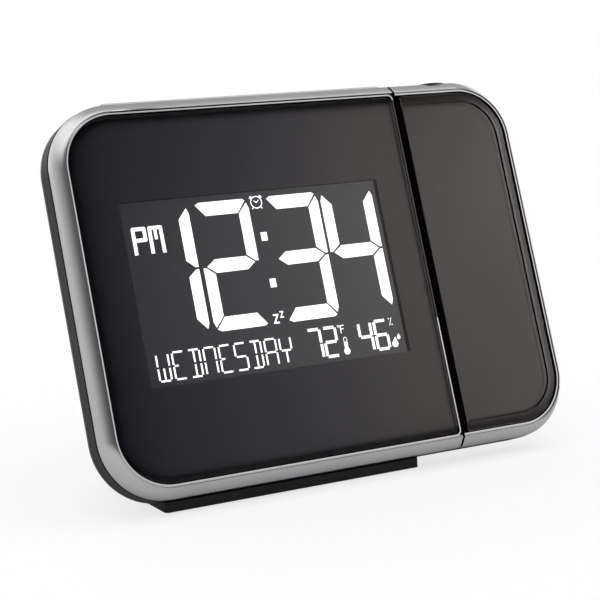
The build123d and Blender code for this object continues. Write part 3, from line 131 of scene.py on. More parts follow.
# ---- Node helpers ----
NOISE_LOW, NOISE_HIGH = 0.3, 0.7  # most of a noise texture's values lie between these
SPAN = 60.0  # colours along x are placed from -SPAN to SPAN
CURVE_STARTS_WITH = 2  # points that a new curve already has


def principled(name):
    material = bpy.data.materials.new(name)
    material.use_nodes = True
    return material, material.node_tree, material.node_tree.nodes["Principled BSDF"]


def noise(tree, scale, detail, stretch=(1, 1, 1)):
    """Noise in the piece's own coordinates; scale is in features per metre."""
    place = tree.nodes.new("ShaderNodeTexCoord")
    mapping = tree.nodes.new("ShaderNodeMapping")
    mapping.inputs["Scale"].default_value = stretch
    texture = tree.nodes.new("ShaderNodeTexNoise")
    texture.inputs["Scale"].default_value = scale
    texture.inputs["Detail"].default_value = detail
    tree.links.new(place.outputs["Object"], mapping.inputs["Vector"])
    tree.links.new(mapping.outputs["Vector"], texture.inputs["Vector"])
    return texture.outputs["Fac"]


def spread(tree, value, low, high):
    """Maps noise to a range."""
    remap = tree.nodes.new("ShaderNodeMapRange")
    remap.inputs["From Min"].default_value = NOISE_LOW
    remap.inputs["From Max"].default_value = NOISE_HIGH
    remap.inputs["To Min"].default_value = low
    remap.inputs["To Max"].default_value = high
    tree.links.new(value, remap.inputs["Value"])
    return remap.outputs["Result"]


def ramp_of(tree, value, stops):
    """Colour ramp through (place from 0 to 1, colour) stops, in rising order."""
    ramp = tree.nodes.new("ShaderNodeValToRGB")
    elements = ramp.color_ramp.elements
    first, *middle, last = stops
    for element, (place, _) in zip(elements, (first, last)):
        element.position = place
    elements[0].color, elements[1].color = (*first[1], 1), (*last[1], 1)
    for place, colour in middle:
        elements.new(place).color = (*colour, 1)
    tree.links.new(value, ramp.inputs["Fac"])
    return ramp.outputs["Color"]


def along_x(tree, stops):
    """Colour that changes along x, through (x in millimetres, colour) stops."""
    place = tree.nodes.new("ShaderNodeTexCoord")
    axes = tree.nodes.new("ShaderNodeSeparateXYZ")
    share = tree.nodes.new("ShaderNodeMapRange")
    share.inputs["From Min"].default_value = -SPAN * MM
    share.inputs["From Max"].default_value = SPAN * MM
    tree.links.new(place.outputs["Object"], axes.inputs["Vector"])
    tree.links.new(axes.outputs["X"], share.inputs["Value"])
    spots = [((x + SPAN) / (2 * SPAN), colour) for x, colour in stops]
    return ramp_of(tree, share.outputs["Result"], spots)


class Maths:
    """Math nodes in one tree, on numbers or sockets."""

    def __init__(self, tree):
        self.tree = tree

    def __call__(self, kind, a, b=None):
        node = self.tree.nodes.new("ShaderNodeMath")
        node.operation = kind
        for socket, value in zip(node.inputs, (a, b)):
            if isinstance(value, (int, float)):
                socket.default_value = value
            elif value is not None:
                self.tree.links.new(value, socket)
        return node.outputs[0]

    def pick(self, value, a, b):
        """a where value is 0, b where it is 1."""
        rest = self("SUBTRACT", 1.0, value)
        return self("ADD", self("MULTIPLY", value, b), self("MULTIPLY", rest, a))

    def fade(self, value, start, end, low=0.0, high=1.0):
        """Smooth step from low at start to high at end."""
        node = self.tree.nodes.new("ShaderNodeMapRange")
        node.interpolation_type = "SMOOTHSTEP"
        ends = (("From Min", start), ("From Max", end), ("To Min", low), ("To Max", high))
        for name, number in ends:
            node.inputs[name].default_value = number
        self.tree.links.new(value, node.inputs["Value"])
        return node.outputs["Result"]

    def curve(self, value, points):
        """Smooth curve through (place, height) points, the lowest place first."""
        node = self.tree.nodes.new("ShaderNodeFloatCurve")
        line = node.mapping.curves[0]
        start, end = points[0][0], points[-1][0]
        top = max(height for _, height in points)
        for number, (place, height) in enumerate(points):
            spot = ((place - start) / (end - start), height / top)
            if number < CURVE_STARTS_WITH:
                line.points[number].location = spot
            else:
                line.points.new(*spot)
        node.mapping.update()
        share = self("DIVIDE", self("SUBTRACT", value, start), end - start)
        self.tree.links.new(share, node.inputs["Value"])
        return self("MULTIPLY", node.outputs["Value"], top)

    def rays(self):
        """Whether a ray comes from gloss, metal or glass, and whether it comes from the camera."""
        path = self.tree.nodes.new("ShaderNodeLightPath")
        shiny = self("MAXIMUM", path.outputs["Is Glossy Ray"], path.outputs["Is Transmission Ray"])
        undiffused = self("LESS_THAN", path.outputs["Diffuse Depth"], 0.5)
        return self("MULTIPLY", shiny, undiffused), path.outputs["Is Camera Ray"]


# ---- Materials ----
# Colours are linear. Grain and blotches are in features per metre, and relief is the grain's
# height in metres.
SLOW_DETAIL, FINE_DETAIL = 2.0, 5.0
PRINT_ROUGH = (0.6, 0.7)
PRINT_GRAIN, PRINT_RELIEF = 4000, 2e-7
CLEAR_IOR = 1.49
CALM_IOR = 1.28  # the display's lens mirrors less
LENS_TINT = (0.93, 0.93, 0.94)
LENS_GLARE = (1.0, 0.92, 0.9)  # the colour of what the lenses mirror
ALONG_GRAIN, ROUND_GRAIN = (1, 1, 8), (8, 1, 1)  # brushed and turned metal


def grained(tree, shader, rough, grain, relief, stretch=(1, 1, 1)):
    """Fine grain in gloss and relief."""
    fine = noise(tree, grain, FINE_DETAIL, stretch)
    tree.links.new(spread(tree, fine, *rough), shader.inputs["Roughness"])
    bump = tree.nodes.new("ShaderNodeBump")
    bump.inputs["Strength"].default_value = 1.0
    bump.inputs["Distance"].default_value = relief
    tree.links.new(fine, bump.inputs["Height"])
    tree.links.new(bump.outputs["Normal"], shader.inputs["Normal"])


def surface(name, dark, light, rough, grain, relief,
            metallic=0.0, stretch=(1, 1, 1), blotches=60.0, gloss=0.5):
    """Moulded, painted or metal surface: slow colour change, and fine grain."""
    material, tree, shader = principled(name)
    shader.inputs["Metallic"].default_value = metallic
    shader.inputs["Specular IOR Level"].default_value = gloss
    slow = noise(tree, blotches, SLOW_DETAIL)
    colour = ramp_of(tree, slow, ((NOISE_LOW, dark), (NOISE_HIGH, light)))
    tree.links.new(colour, shader.inputs["Base Color"])
    grained(tree, shader, rough, grain, relief, stretch)
    return material


def fading(name, stops, rough, gloss):
    """Surface whose colour changes along x."""
    material, tree, shader = principled(name)
    shader.inputs["Specular IOR Level"].default_value = gloss
    tree.links.new(along_x(tree, stops), shader.inputs["Base Color"])
    grained(tree, shader, rough, PRINT_GRAIN, PRINT_RELIEF)
    return material


def clear(name, tint, rough, grain, ior=CLEAR_IOR, glare=(1.0, 1.0, 1.0)):
    """Clear moulded plastic: one tint throughout, and the faintest waviness in its gloss."""
    material, tree, shader = principled(name)
    shader.inputs["Transmission Weight"].default_value = 1.0
    shader.inputs["IOR"].default_value = ior
    shader.inputs["Specular Tint"].default_value = (*glare, 1)
    wave = noise(tree, grain, SLOW_DETAIL)
    colour = ramp_of(tree, wave, ((NOISE_LOW, tint), (NOISE_HIGH, tint)))
    tree.links.new(colour, shader.inputs["Base Color"])
    tree.links.new(spread(tree, wave, *rough), shader.inputs["Roughness"])
    return material


def inside_outline(maths):
    """How far a point lies inside the main lens's outer outline, in millimetres."""
    place = maths.tree.nodes.new("ShaderNodeTexCoord")
    axes = maths.tree.nodes.new("ShaderNodeSeparateXYZ")
    maths.tree.links.new(place.outputs["Object"], axes.inputs["Vector"])
    across, deep, high = [maths("DIVIDE", axis, MM) for axis in axes.outputs]
    deep, high = maths("SUBTRACT", deep, FACE_Y), maths("SUBTRACT", high, FACE_Z)
    deep, high = maths("MULTIPLY", deep, sin(LEAN)), maths("MULTIPLY", high, cos(LEAN))
    u = maths("ABSOLUTE", maths("ADD", deep, high))
    past = maths("MAXIMUM", maths("SUBTRACT", LENS_CORNER_R - LENS_HALF_W, across), 0.0)
    over = maths("MAXIMUM", maths("ADD", u, LENS_CORNER_R - LENS_HALF_H), 0.0)
    squares = maths("ADD", maths("MULTIPLY", past, past), maths("MULTIPLY", over, over))
    return maths("SUBTRACT", LENS_CORNER_R, maths("SQRT", squares))


def rim_shaded(material, colour, start, end):
    """Paints shade on the main print along the lens's rim, fading out from start to end inside its
    outline.
    """
    tree = material.node_tree
    base = tree.nodes["Principled BSDF"].inputs["Base Color"]
    maths = Maths(tree)
    mix = tree.nodes.new("ShaderNodeMix")
    mix.data_type = "RGBA"
    tree.links.new(maths.fade(inside_outline(maths), start, end), mix.inputs["Factor"])
    mix.inputs["A"].default_value = (*colour, 1)
    tree.links.new(base.links[0].from_socket, mix.inputs["B"])
    tree.links.new(mix.outputs["Result"], base)


SILVER = surface("silver_paint", (0.68, 0.68, 0.685), (0.73, 0.73, 0.73),
                 (0.2, 0.26), 9000, 8e-7, metallic=1.0)
LIP = surface("bright_lip", (0.66, 0.66, 0.66), (0.70, 0.70, 0.70),
              (0.12, 0.16), 9000, 4e-7, metallic=1.0)
SMOKED = clear("smoked_lens", LENS_TINT, (0.0, 0.02), 40, glare=LENS_GLARE)
CALM = clear("display_lens", LENS_TINT, (0.0, 0.02), 40, ior=CALM_IOR, glare=LENS_GLARE)
HOUSING = surface("satin_black", (0.010, 0.010, 0.011), (0.016, 0.016, 0.017),
                  (0.30, 0.44), 6500, 3e-6)
FRAME = surface("matt_black", (0.008, 0.008, 0.0085), (0.012, 0.012, 0.013),
                (0.38, 0.5), 6500, 3e-6, gloss=0.2)
# painted shade: black without gloss, far darker than the plastic, for the shade in the groove, the
# split and round the lens seat
SHADE_BLACK = surface("painted_shade_black", (0.0010, 0.0010, 0.0012), (0.0016, 0.0016, 0.0018),
               (0.8, 0.9), 4000, 1e-6, gloss=0.0)
FOOT = surface("foot_black", (0.008, 0.008, 0.0085), (0.013, 0.013, 0.014),
               (0.34, 0.5), 5200, 4e-6, gloss=0.2)
# gloss black for the seat beside the split, and painted shade on the lip beside it and on the arm
# lens's step
GLOSS_AND_SHADE = surface("gloss_black_and_painted_shade", (0.002, 0.002, 0.002), (0.003, 0.003, 0.003),
                     (0.06, 0.1), 4000, 2e-7, gloss=1.0)
PRINT = surface("black_print", (0.0016, 0.0016, 0.0018), (0.0024, 0.0024, 0.0027),
                PRINT_ROUGH, PRINT_GRAIN, PRINT_RELIEF, gloss=0.0)
# painted light: the arm's print is lighter than the black print, for the light falling from the
# right
LIT_ARM_MASK = surface("arm_print_painted_light", (0.017, 0.015, 0.0125), (0.019, 0.017, 0.0145),
                   PRINT_ROUGH, PRINT_GRAIN, PRINT_RELIEF, gloss=0.0)
PANEL = surface("display_glass", (0.012, 0.012, 0.015), (0.016, 0.017, 0.021),
                (0.12, 0.2), 3000, 4e-7)
LIGHT_GUIDE = surface("light_guide", (0.82, 0.85, 0.87), (0.9, 0.93, 0.95),
                      (0.2, 0.3), 800, 2e-6)
BOARD = surface("board_green", (0.012, 0.09, 0.035), (0.03, 0.16, 0.06),
                (0.25, 0.4), 1500, 6e-6, blotches=900)
MOULDED = surface("moulded_black", (0.014, 0.014, 0.014), (0.03, 0.03, 0.03),
                  (0.4, 0.6), 4000, 6e-6)
WHITE_PART = surface("white_plastic", (0.72, 0.72, 0.69), (0.82, 0.82, 0.79),
                     (0.35, 0.5), 3000, 5e-6)
STEEL = surface("plated_steel", (0.5, 0.5, 0.49), (0.64, 0.64, 0.62),
                (0.2, 0.4), 2500, 3e-6, metallic=1.0, stretch=ALONG_GRAIN)
BRASS = surface("turned_brass", (0.68, 0.5, 0.22), (0.8, 0.62, 0.32),
                (0.2, 0.36), 2500, 3e-6, metallic=1.0, stretch=ROUND_GRAIN)
WRAP = surface("battery_wrap", (0.02, 0.02, 0.022), (0.035, 0.035, 0.04),
               (0.2, 0.3), 1500, 4e-6)
RUBBER = surface("pad_rubber", (0.012, 0.012, 0.012), (0.025, 0.025, 0.025),
                 (0.7, 0.9), 3500, 1.5e-5)
RING = surface("gloss_black", (0.012, 0.012, 0.013), (0.018, 0.018, 0.02),
               (0.08, 0.16), 2500, 8e-7)
OPTIC = clear("clear_optic", (0.97, 0.98, 1.0), (0.0, 0.01), 60)
LAMP = clear("lamp_red", (0.9, 0.12, 0.1), (0.02, 0.08), 200)

# The print behind the main lens is black. Painted light on it rises from blue-black at the left to
# a warm dark grey at the right, where the light comes from, and painted shade darkens it along its
# rim
# painted shade: the print darkens near the lens's rim, where the rolled edge lies in shade
RIM_SHADE_COLOUR = (0.005, 0.005, 0.006)
RIM_SHADE_START, RIM_SHADE_END = 0.6, 2.8
LIT_MASK = fading("mask_print_painted_light", (
    (-60.0, (0.016, 0.016, 0.021)), (-46.0, (0.027, 0.028, 0.033)),
    (-13.0, (0.045, 0.045, 0.050)), (8.0, (0.063, 0.061, 0.062)),
    (20.0, (0.077, 0.067, 0.065)), (60.0, (0.084, 0.072, 0.068)),
), PRINT_ROUGH, 0.0)
rim_shaded(LIT_MASK, RIM_SHADE_COLOUR, RIM_SHADE_START, RIM_SHADE_END)
# The arm's frame is black; beside the split it is near-void black, painted shade for the shadowed
# gap
SHADED_ARM_FRAME = fading("arm_black_painted_shade", (
    (-60.0, (0.001, 0.001, 0.001)), (31.1, (0.001, 0.001, 0.001)),
    (31.3, (0.010, 0.010, 0.011)), (60.0, (0.012, 0.012, 0.013)),
), (0.4, 0.5), 0.0)
# The display's dark ground glows a little with its backlight; the glow's rise towards the right end
# is painted light
LCD = fading("display_ground_painted_light", (
    (-60.0, (0.006, 0.006, 0.008)), (60.0, (0.008, 0.008, 0.01)),
), (0.3, 0.4), 0.1)
LCD.cycles.emission_sampling = "NONE"
lcd_shader = LCD.node_tree.nodes["Principled BSDF"]
lcd_shader.inputs["Emission Strength"].default_value = 1.0
LCD.node_tree.links.new(along_x(LCD.node_tree, (
    (-46.0, (0.026, 0.026, 0.030)), (20.0, (0.064, 0.064, 0.062)),
)), lcd_shader.inputs["Emission Color"])

BY_SLOT = {
    "bezel": SILVER, "lens": SMOKED, "housing": HOUSING, "black_print": PRINT, "display": PANEL,
    "backlight": LIGHT_GUIDE, "board": BOARD, "component": MOULDED, "white_part": WHITE_PART,
    "steel": STEEL, "bush": BRASS, "cell_wrap": WRAP, "pad": RUBBER, "ring": RING,
    "optic": OPTIC, "lamp": LAMP,
}
BY_NODE = {
    "stand_foot": FOOT, "front_frame": FRAME, "arm_frame": SHADED_ARM_FRAME, "lcd_glass": LCD,
    "lens_mask": LIT_MASK, "arm_mask": LIT_ARM_MASK,
}


def paint(piece, material):
    piece.data.materials.clear()
    piece.data.materials.append(material)


for part in frame["record"]["subparts"]:
    node = part["node"]
    paint(nodes[node], BY_NODE.get(node, BY_SLOT[part["material_slot"]]))


# ---- Mesh helpers ----
ARC_STEPS = 24
INNER_ARC_STEPS = 8
STRAIGHT_STEPS = 6


def make(name, points, faces, material, slot, body,
         stands_for=None, smooth_below=32.0, facings=None, patches=()):
    """Mesh piece from face-frame points; edges blunter than smooth_below degrees look smooth.

    facings gives a shading normal for each point, for a surface that is rounder than its mesh.
    patches are other materials, each with a test of x and u for the faces that it covers."""
    mesh = bpy.data.meshes.new(name)
    mesh.from_pydata([at(*p) for p in points], [], faces)
    mesh.validate()
    piece = bpy.data.objects.new(name, mesh)
    bpy.context.scene.collection.objects.link(piece)
    shape = bmesh.new()
    shape.from_mesh(mesh)
    bmesh.ops.recalc_face_normals(shape, faces=shape.faces)
    for face in shape.faces:
        face.smooth = True
    for edge in shape.edges:
        blunt = len(edge.link_faces) == 2 and edge.calc_face_angle() < radians(smooth_below)
        edge.smooth = blunt
    shape.to_mesh(mesh)
    shape.free()
    if facings:
        for edge in mesh.edges:
            edge.use_edge_sharp = False
        mesh.normals_split_custom_set_from_vertices([from_face(Vector(f)) for f in facings])
    paint(piece, material)
    for index, (other, covers) in enumerate(patches, 1):
        mesh.materials.append(other)
        for face in mesh.polygons:
            if covers(face.center.x / MM, (face.center / MM - FACE_ORIGIN).dot(UPWARD)):
                face.material_index = index
    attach(piece, body)
    if stands_for:
        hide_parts(stands_for)
    return piece


def arc(cx, cu, radius, start, end, steps):
    """Points on an arc, angles in degrees."""
    turns = [radians(start + (end - start) * k / steps) for k in range(steps + 1)]
    return [(cx + radius * cos(t), cu + radius * sin(t)) for t in turns]


def straight(a, b):
    """Points between a and b, without either."""
    return [
        (a[0] + (b[0] - a[0]) * k / STRAIGHT_STEPS, a[1] + (b[1] - a[1]) * k / STRAIGHT_STEPS)
        for k in range(1, STRAIGHT_STEPS)
    ]


def open_outline(side, edge, end_x, hand):
    """Round the outer corners from the split's top to its bottom; hand is -1 for the main half."""
    wide = LENS_HALF_W + side
    high = LENS_HALF_H + edge
    radius = LENS_CORNER_R + (side + edge) / 2
    cx, cu = wide - radius, high - radius
    top = arc(cx, cu, radius, 90, 0, ARC_STEPS)
    low = arc(cx, -cu, radius, 0, -90, ARC_STEPS)
    start, end = (end_x * hand, high), (end_x * hand, -high)
    path = [start] + straight(start, top[0]) + top + straight(top[-1], low[0]) + low
    path += straight(low[-1], end) + [end]
    return [(x * hand, u) for x, u in path]


def closed_outline(off, inner_x, inner_off, hand, inner_r):
    """Outline of a lens opening: the outer corners wide, and small corners beside the split."""
    wide = LENS_HALF_W + off
    high = LENS_HALF_H + off
    radius = LENS_CORNER_R + off
    cx, cu = wide - radius, high - radius
    nx, nu = inner_x * hand - inner_off + inner_r, high - inner_r
    corners = (
        arc(nx, nu, inner_r, 180, 90, INNER_ARC_STEPS),
        arc(cx, cu, radius, 90, 0, ARC_STEPS),
        arc(cx, -cu, radius, 0, -90, ARC_STEPS),
        arc(nx, -nu, inner_r, -90, -180, INNER_ARC_STEPS),
    )
    path = []
    for corner, after in zip(corners, corners[1:] + corners[:1]):
        path += corner + straight(corner[-1], after[0])
    return [(x * hand, u) for x, u in path]


def sweep(rows, closed_path, closed_profile=True, filled=False, ends=True):
    """Faces between rows of points.

    A closed path joins each row's end to its start, and a closed profile the last row to the
    first. filled adds faces over the first and last rows, ends over an open path's ends."""
    count = len(rows[0])
    points = [p for row in rows for p in row]
    faces = []
    for r in range(len(rows) if closed_profile else len(rows) - 1):
        here, below = r * count, (r + 1) % len(rows) * count
        for k in range(count if closed_path else count - 1):
            after = (k + 1) % count
            faces.append((here + k, here + after, below + after, below + k))
    if ends and not closed_path:
        faces.append(tuple(r * count for r in range(len(rows))))
        faces.append(tuple(r * count + count - 1 for r in reversed(range(len(rows)))))
    if filled:
        last = (len(rows) - 1) * count
        faces.append(tuple(range(count)))
        faces.append(tuple(last + k for k in reversed(range(count))))
    return points, faces


def monotone(xs, ys, x):
    """Smooth curve through the points that never overshoots them."""
    gaps = [b - a for a, b in zip(xs, xs[1:])]
    slopes = [(b - a) / gap for a, b, gap in zip(ys, ys[1:], gaps)]
    tangents = [slopes[0]]
    tangents += [0 if a * b <= 0 else 2 * a * b / (a + b) for a, b in zip(slopes, slopes[1:])]
    tangents += [slopes[-1]]
    k = max(i for i in range(len(gaps)) if xs[i] <= x or i == 0)
    t = (x - xs[k]) / gaps[k]
    return (
        (2 * t**3 - 3 * t**2 + 1) * ys[k]
        + (t**3 - 2 * t**2 + t) * gaps[k] * tangents[k]
        + (3 * t**2 - 2 * t**3) * ys[k + 1]
        + (t**3 - t**2) * gaps[k] * tangents[k + 1]
    )


# ---- Bezels ----
BAND_STEPS = 20
BAND_CROWD = 1.4  # crowds the band's rows towards its front
BAND_LEAST_FLARE = 0.02  # each row stands at least this much outside the one before
EDGE_ROUND = 0.12
CREST_W = 0.26  # flat crest along the band's front edge
CREST_ROWS = 3
CREST_ASIDE = 2.0
CREST_TURN = 3.0
# how far the band's surface turns from facing forwards, in degrees, at BAND_DEPTHS
SIDE_FACING = (40.0, 52.0, 63.0, 75.0, 86.0)
TOP_FACING = (36.0, 45.0, 53.0, 66.0, 78.0)
LOW_FACING = (36.0, 50.0, 62.0, 72.0, 80.0)
# the strip that closes the groove: how far it laps over both sides, and by the lip and by the
# band its depth, and its facings at the side, top and bottom
CLOSE_LAP = 0.05
CLOSE_DEPTHS = (0.1, 0.1 / 3)
CLOSE_FACINGS = ((32.0, 36.0, 32.0), (37.0, 36.0, 34.0))
GROOVE_TAPER = 0.01  # the groove is this much narrower at its foot
LIP_CLEAR = 0.1
LIP_ROUND = 0.07
SHARP_CORNER = 0.02  # the groove's outer corners beside the split
LEAST_CORNER = 0.2  # the corners inside it
# where the groove is open, and where the lip beside the split is painted dark, as painted shade
MAIN_GROOVE_LEFT = -47.0
ARM_GROOVE_LEFT = 52.0
ARM_GROOVE_LOW = -36.0
SHADE_LIP_LOW, SHADE_LIP_TOP = -12.0, 39.0


def band_rows():
    """The band from its front edge to its back: depth, offsets at side and edge, and facings."""
    crest = (EDGE_ROUND, BAND_OUT), (0.0, BAND_OUT + EDGE_ROUND / 4), (0.0, BAND_OUT + CREST_W)
    front = (SIDE_FACING[0], TOP_FACING[0], LOW_FACING[0])
    rows = [(depth, off, off, *front) for depth, off in crest]
    for step in range(1, BAND_STEPS + 1):
        depth = BEZEL_D * (step / BAND_STEPS) ** BAND_CROWD
        side, edge, *turns = [
            monotone(BAND_DEPTHS, values, depth)
            for values in (BAND_SIDE, BAND_EDGE, SIDE_FACING, TOP_FACING, LOW_FACING)
        ]
        least = BAND_OUT + CREST_W + BAND_LEAST_FLARE * step
        rows.append((depth, max(side, least), max(edge, least), *turns))
    return rows


def open_turns():
    """Which way each point of open_outline faces, in degrees from the clock's side."""
    down = [90 - 90 * k / ARC_STEPS for k in range(ARC_STEPS + 1)]
    top = [90.0] * STRAIGHT_STEPS + down + [0.0] * (STRAIGHT_STEPS - 1)
    return top + [turn - 90 for turn in down] + [-90.0] * STRAIGHT_STEPS


def crest_facing(x):
    """Crests face forwards and a little to the right, most at the clock's left end."""
    aside = radians(CREST_ASIDE - CREST_TURN * x / LENS_HALF_W)
    return (sin(aside), 0.0, cos(aside))


def crest_facings(rows):
    return [crest_facing(x) for row in rows for x, _, _ in row]


def rounded_facing(turn, hand, side_facing, top_facing, low_facing):
    """Facing of the band where its outline faces turn degrees from the clock's side."""
    away, rise = cos(radians(turn)), sin(radians(turn))
    level = top_facing if rise > 0 else low_facing
    facing = radians(side_facing * away**2 + level * rise**2)
    return (hand * away * sin(facing), rise * sin(facing), cos(facing))


def band(name, body, stands_for, end_x, hand, grooved):
    """The silver band, its ends beside the split, and strips over the groove where it's closed."""
    turns = open_turns()
    rows, facings = [], []
    for number, (depth, side, edge, *turned) in enumerate(band_rows()):
        rows.append([(x, u, depth) for x, u in open_outline(side, edge, end_x, hand)])
        for (x, u, _), turn in zip(rows[-1], turns):
            on_crest = number < CREST_ROWS and grooved(x, u)
            facings.append(crest_facing(x) if on_crest else rounded_facing(turn, hand, *turned))
    points, faces = sweep(rows, closed_path=False, closed_profile=False, ends=False)
    make(name, points, faces, SILVER, "bezel", body, stands_for, facings=facings)

    # The band's ends beside the split are painted shade black
    profile = [(depth, edge) for depth, _, edge, *_ in band_rows()] + [(BEZEL_D, BAND_OUT)]
    for level, end in ((1, "top"), (-1, "low")):
        cap = [(end_x, level * (LENS_HALF_H + edge), depth) for depth, edge in profile]
        make("%s_end_%s" % (name, end), cap, [tuple(range(len(cap)))], SHADE_BLACK, "housing", body)

    near, far = [
        open_outline(off, off, end_x, hand)
        for off in (LIP_OUT - CLOSE_LAP, BAND_OUT + CLOSE_LAP)
    ]
    runs = groupby(range(len(far)), lambda k: grooved(*far[k]))
    closed = [list(run) for is_open, run in runs if not is_open]
    for number, run in enumerate(run for run in closed if len(run) > 1):
        strip = [[(*path[k], depth) for k in run] for path, depth in zip((near, far), CLOSE_DEPTHS)]
        facings = [rounded_facing(turns[k], hand, *facing) for facing in CLOSE_FACINGS for k in run]
        points, faces = sweep(strip, closed_path=False, closed_profile=False, ends=False)
        make("%s_closed_%d" % (name, number), points, faces, SILVER, "bezel", body, facings=facings)


def swept_profile(profile, outline_at):
    return [[(x, u, depth) for x, u in outline_at(off)] for depth, off in profile]


def seat_rows(outline_at):
    """The black carrier inside the band: groove, lip, lens seat and ledge, in painted shade black.
    """
    near = FIT + LIP_CLEAR
    return swept_profile((
        (BEZEL_D, BAND_OUT), (EDGE_ROUND, BAND_OUT), (GROOVE_D, BAND_OUT - GROOVE_TAPER),
        (GROOVE_D, LIP_OUT), (EDGE_ROUND, LIP_OUT), (EDGE_ROUND, near),
        (SEAT_DEPTH, near), (SEAT_DEPTH, -LEDGE), (BEZEL_D, -LEDGE),
    ), outline_at)


def lip_rows(outline_at):
    """The bright crest on the lip."""
    near, turn = FIT + LIP_CLEAR, LIP_ROUND / 3
    return swept_profile((
        (EDGE_ROUND, LIP_OUT), (turn, LIP_OUT - turn), (0.0, LIP_OUT - LIP_ROUND),
        (0.0, near + LIP_ROUND), (turn, near + turn), (EDGE_ROUND, near),
    ), outline_at)


def main_opening(off):
    """Outline round the main lens; beside the split all is narrower, and the groove stays open."""
    near = {BAND_OUT: MAIN_BAR, LIP_OUT: FIT + BAR_LIP_W}.get(off, min(off, MAIN_BAR))
    corner = SHARP_CORNER
    if off < BAND_OUT - 2 * GROOVE_TAPER:
        corner = max(LENS_INNER_R + (off + near) / 2, LEAST_CORNER)
    return closed_outline(off, MAIN_LENS_RIGHT, near, -1, corner)


def arm_opening(off):
    return open_outline(off, off, ARM_LEFT, 1)


def main_grooved(x, u):
    return u > LENS_HALF_H and x > MAIN_GROOVE_LEFT


def arm_grooved(x, u):
    return x > ARM_GROOVE_LEFT and u > ARM_GROOVE_LOW


def beside_split(x, u):
    return x > MAIN_LENS_RIGHT


# painted shade: the lip beside the split is dark gloss between these heights, silver above and
# below
def painted_shade_lip(x, u):
    return beside_split(x, u) and SHADE_LIP_LOW < u < SHADE_LIP_TOP


band("bezel_main", "clock", "main_bezel", SPLIT_X, -1, main_grooved)
make("bezel_main_seat", *sweep(seat_rows(main_opening), closed_path=True),
     SHADE_BLACK, "housing", "clock", patches=((GLOSS_AND_SHADE, beside_split),))
lip = lip_rows(main_opening)
make("bezel_main_lip", *sweep(lip, closed_path=True, closed_profile=False),
     LIP, "bezel", "clock", facings=crest_facings(lip), patches=((GLOSS_AND_SHADE, painted_shade_lip),))
band("bezel_arm", "arm", "arm_bezel", ARM_LEFT, 1, arm_grooved)
make("bezel_arm_seat", *sweep(seat_rows(arm_opening), closed_path=False), SHADE_BLACK, "housing", "arm")
lip = lip_rows(arm_opening)
make("bezel_arm_lip", *sweep(lip, closed_path=False, closed_profile=False, ends=False),
     LIP, "bezel", "arm", facings=crest_facings(lip))


# ---- Lenses ----
LENS_BACK_GAP = 0.01  # air between the lens and its print
LENS_END_SHARE = 0.02  # beside the split the edge rolls over this share of its width
RIM_W, RIM_D = 0.02, 0.06  # fine chamfer where the face meets the rim
BACK_ROUND = 4.0  # the lens's back is hollowed, and curves back to meet its rim
BACK_HOLLOW = 0.4
ROLL_STEPS = 8
CROWN_STEPS = 8
BEVEL_W = 2.35  # flat bevel round the arm's lens
BEVEL_SLOPE = 0.11
BEVEL_STEPS = 3
STEP_W = 0.5  # from the bevel's inner edge the surface steps down to the face
STEP_D = 0.13
EDGE_ROLL = 0.5
EDGE_DROP = 0.06
EDGE_STEPS = 4
ARM_CROWN = 0.1
# painted shade: a dark line on the arm lens's step, for the step's shadowed edge
SHADE_STEP_LEFT = 52.0  # the step is dark right of here
SHADE_STEP_SHARE = 0.2  # dark faces lie this near the step's middle, by its width


def main_depth(inset):
    """Rolled edge, then a slow crown."""
    roll = max(1 - inset / LENS_ROLL, 0)
    crown = max(1 - inset / LENS_CROWN_W, 0)
    return LENS_SET + LENS_ROLL_DROP * roll**2 + LENS_CROWN * crown**3


def arm_depth(inset):
    """Flat bevel, and a fine step down to the face."""
    crown = max(1 - inset / LENS_CROWN_W, 0)
    roll = max(1 - inset / EDGE_ROLL, 0)
    bevel = BEVEL_SLOPE * max(BEVEL_W - inset, 0)
    step = STEP_D * min(max((inset - BEVEL_W) / STEP_W, 0), 1)
    return LENS_SET + bevel + step + EDGE_DROP * roll**2 + ARM_CROWN * crown**3


def spaced(start, end, steps):
    return [start + (end - start) * step / steps for step in range(1, steps + 1)]


FACE_EDGE = BEVEL_W + STEP_W
MAIN_INSETS = spaced(0, LENS_ROLL, ROLL_STEPS) + spaced(LENS_ROLL, LENS_CROWN_W, CROWN_STEPS)
ARM_INSETS = spaced(0, EDGE_ROLL, EDGE_STEPS) + spaced(EDGE_ROLL, BEVEL_W, BEVEL_STEPS)
ARM_INSETS += [FACE_EDGE] + spaced(FACE_EDGE, LENS_CROWN_W, CROWN_STEPS)


def lens(inner_x, hand, depth_at, insets):
    """Lens from its hollowed back, round its edge, to its face."""
    back = LENS_SET + LENS_T - LENS_BACK_GAP
    hollow = [BACK_ROUND * step / ROLL_STEPS for step in range(ROLL_STEPS, -1, -1)]
    profile = [
        (inset, back - BACK_HOLLOW * (1 - (1 - inset / BACK_ROUND) ** 2)) for inset in hollow
    ]
    profile += [(0.0, depth_at(0) + RIM_D), (RIM_W, depth_at(0))]
    profile += [(inset, depth_at(inset)) for inset in insets]
    rows = []
    for inset, depth in profile:
        path = closed_outline(-inset, inner_x, -LENS_END_SHARE * inset, hand, LENS_INNER_R)
        rows.append([(x, u, depth) for x, u in path])
    return sweep(rows, closed_path=True, closed_profile=False, filled=True)


def painted_shade_step(x, u):
    """Faces of the step round the arm's face, from the top right corner down, painted dark as
    painted shade on the step's edge.
    """
    past = max(x - LENS_HALF_W + LENS_CORNER_R, 0)
    over = max(abs(u) - LENS_HALF_H + LENS_CORNER_R, 0)
    inset = LENS_CORNER_R - hypot(past, over)
    return x > SHADE_STEP_LEFT and abs(inset - BEVEL_W - STEP_W / 2) < STEP_W * SHADE_STEP_SHARE


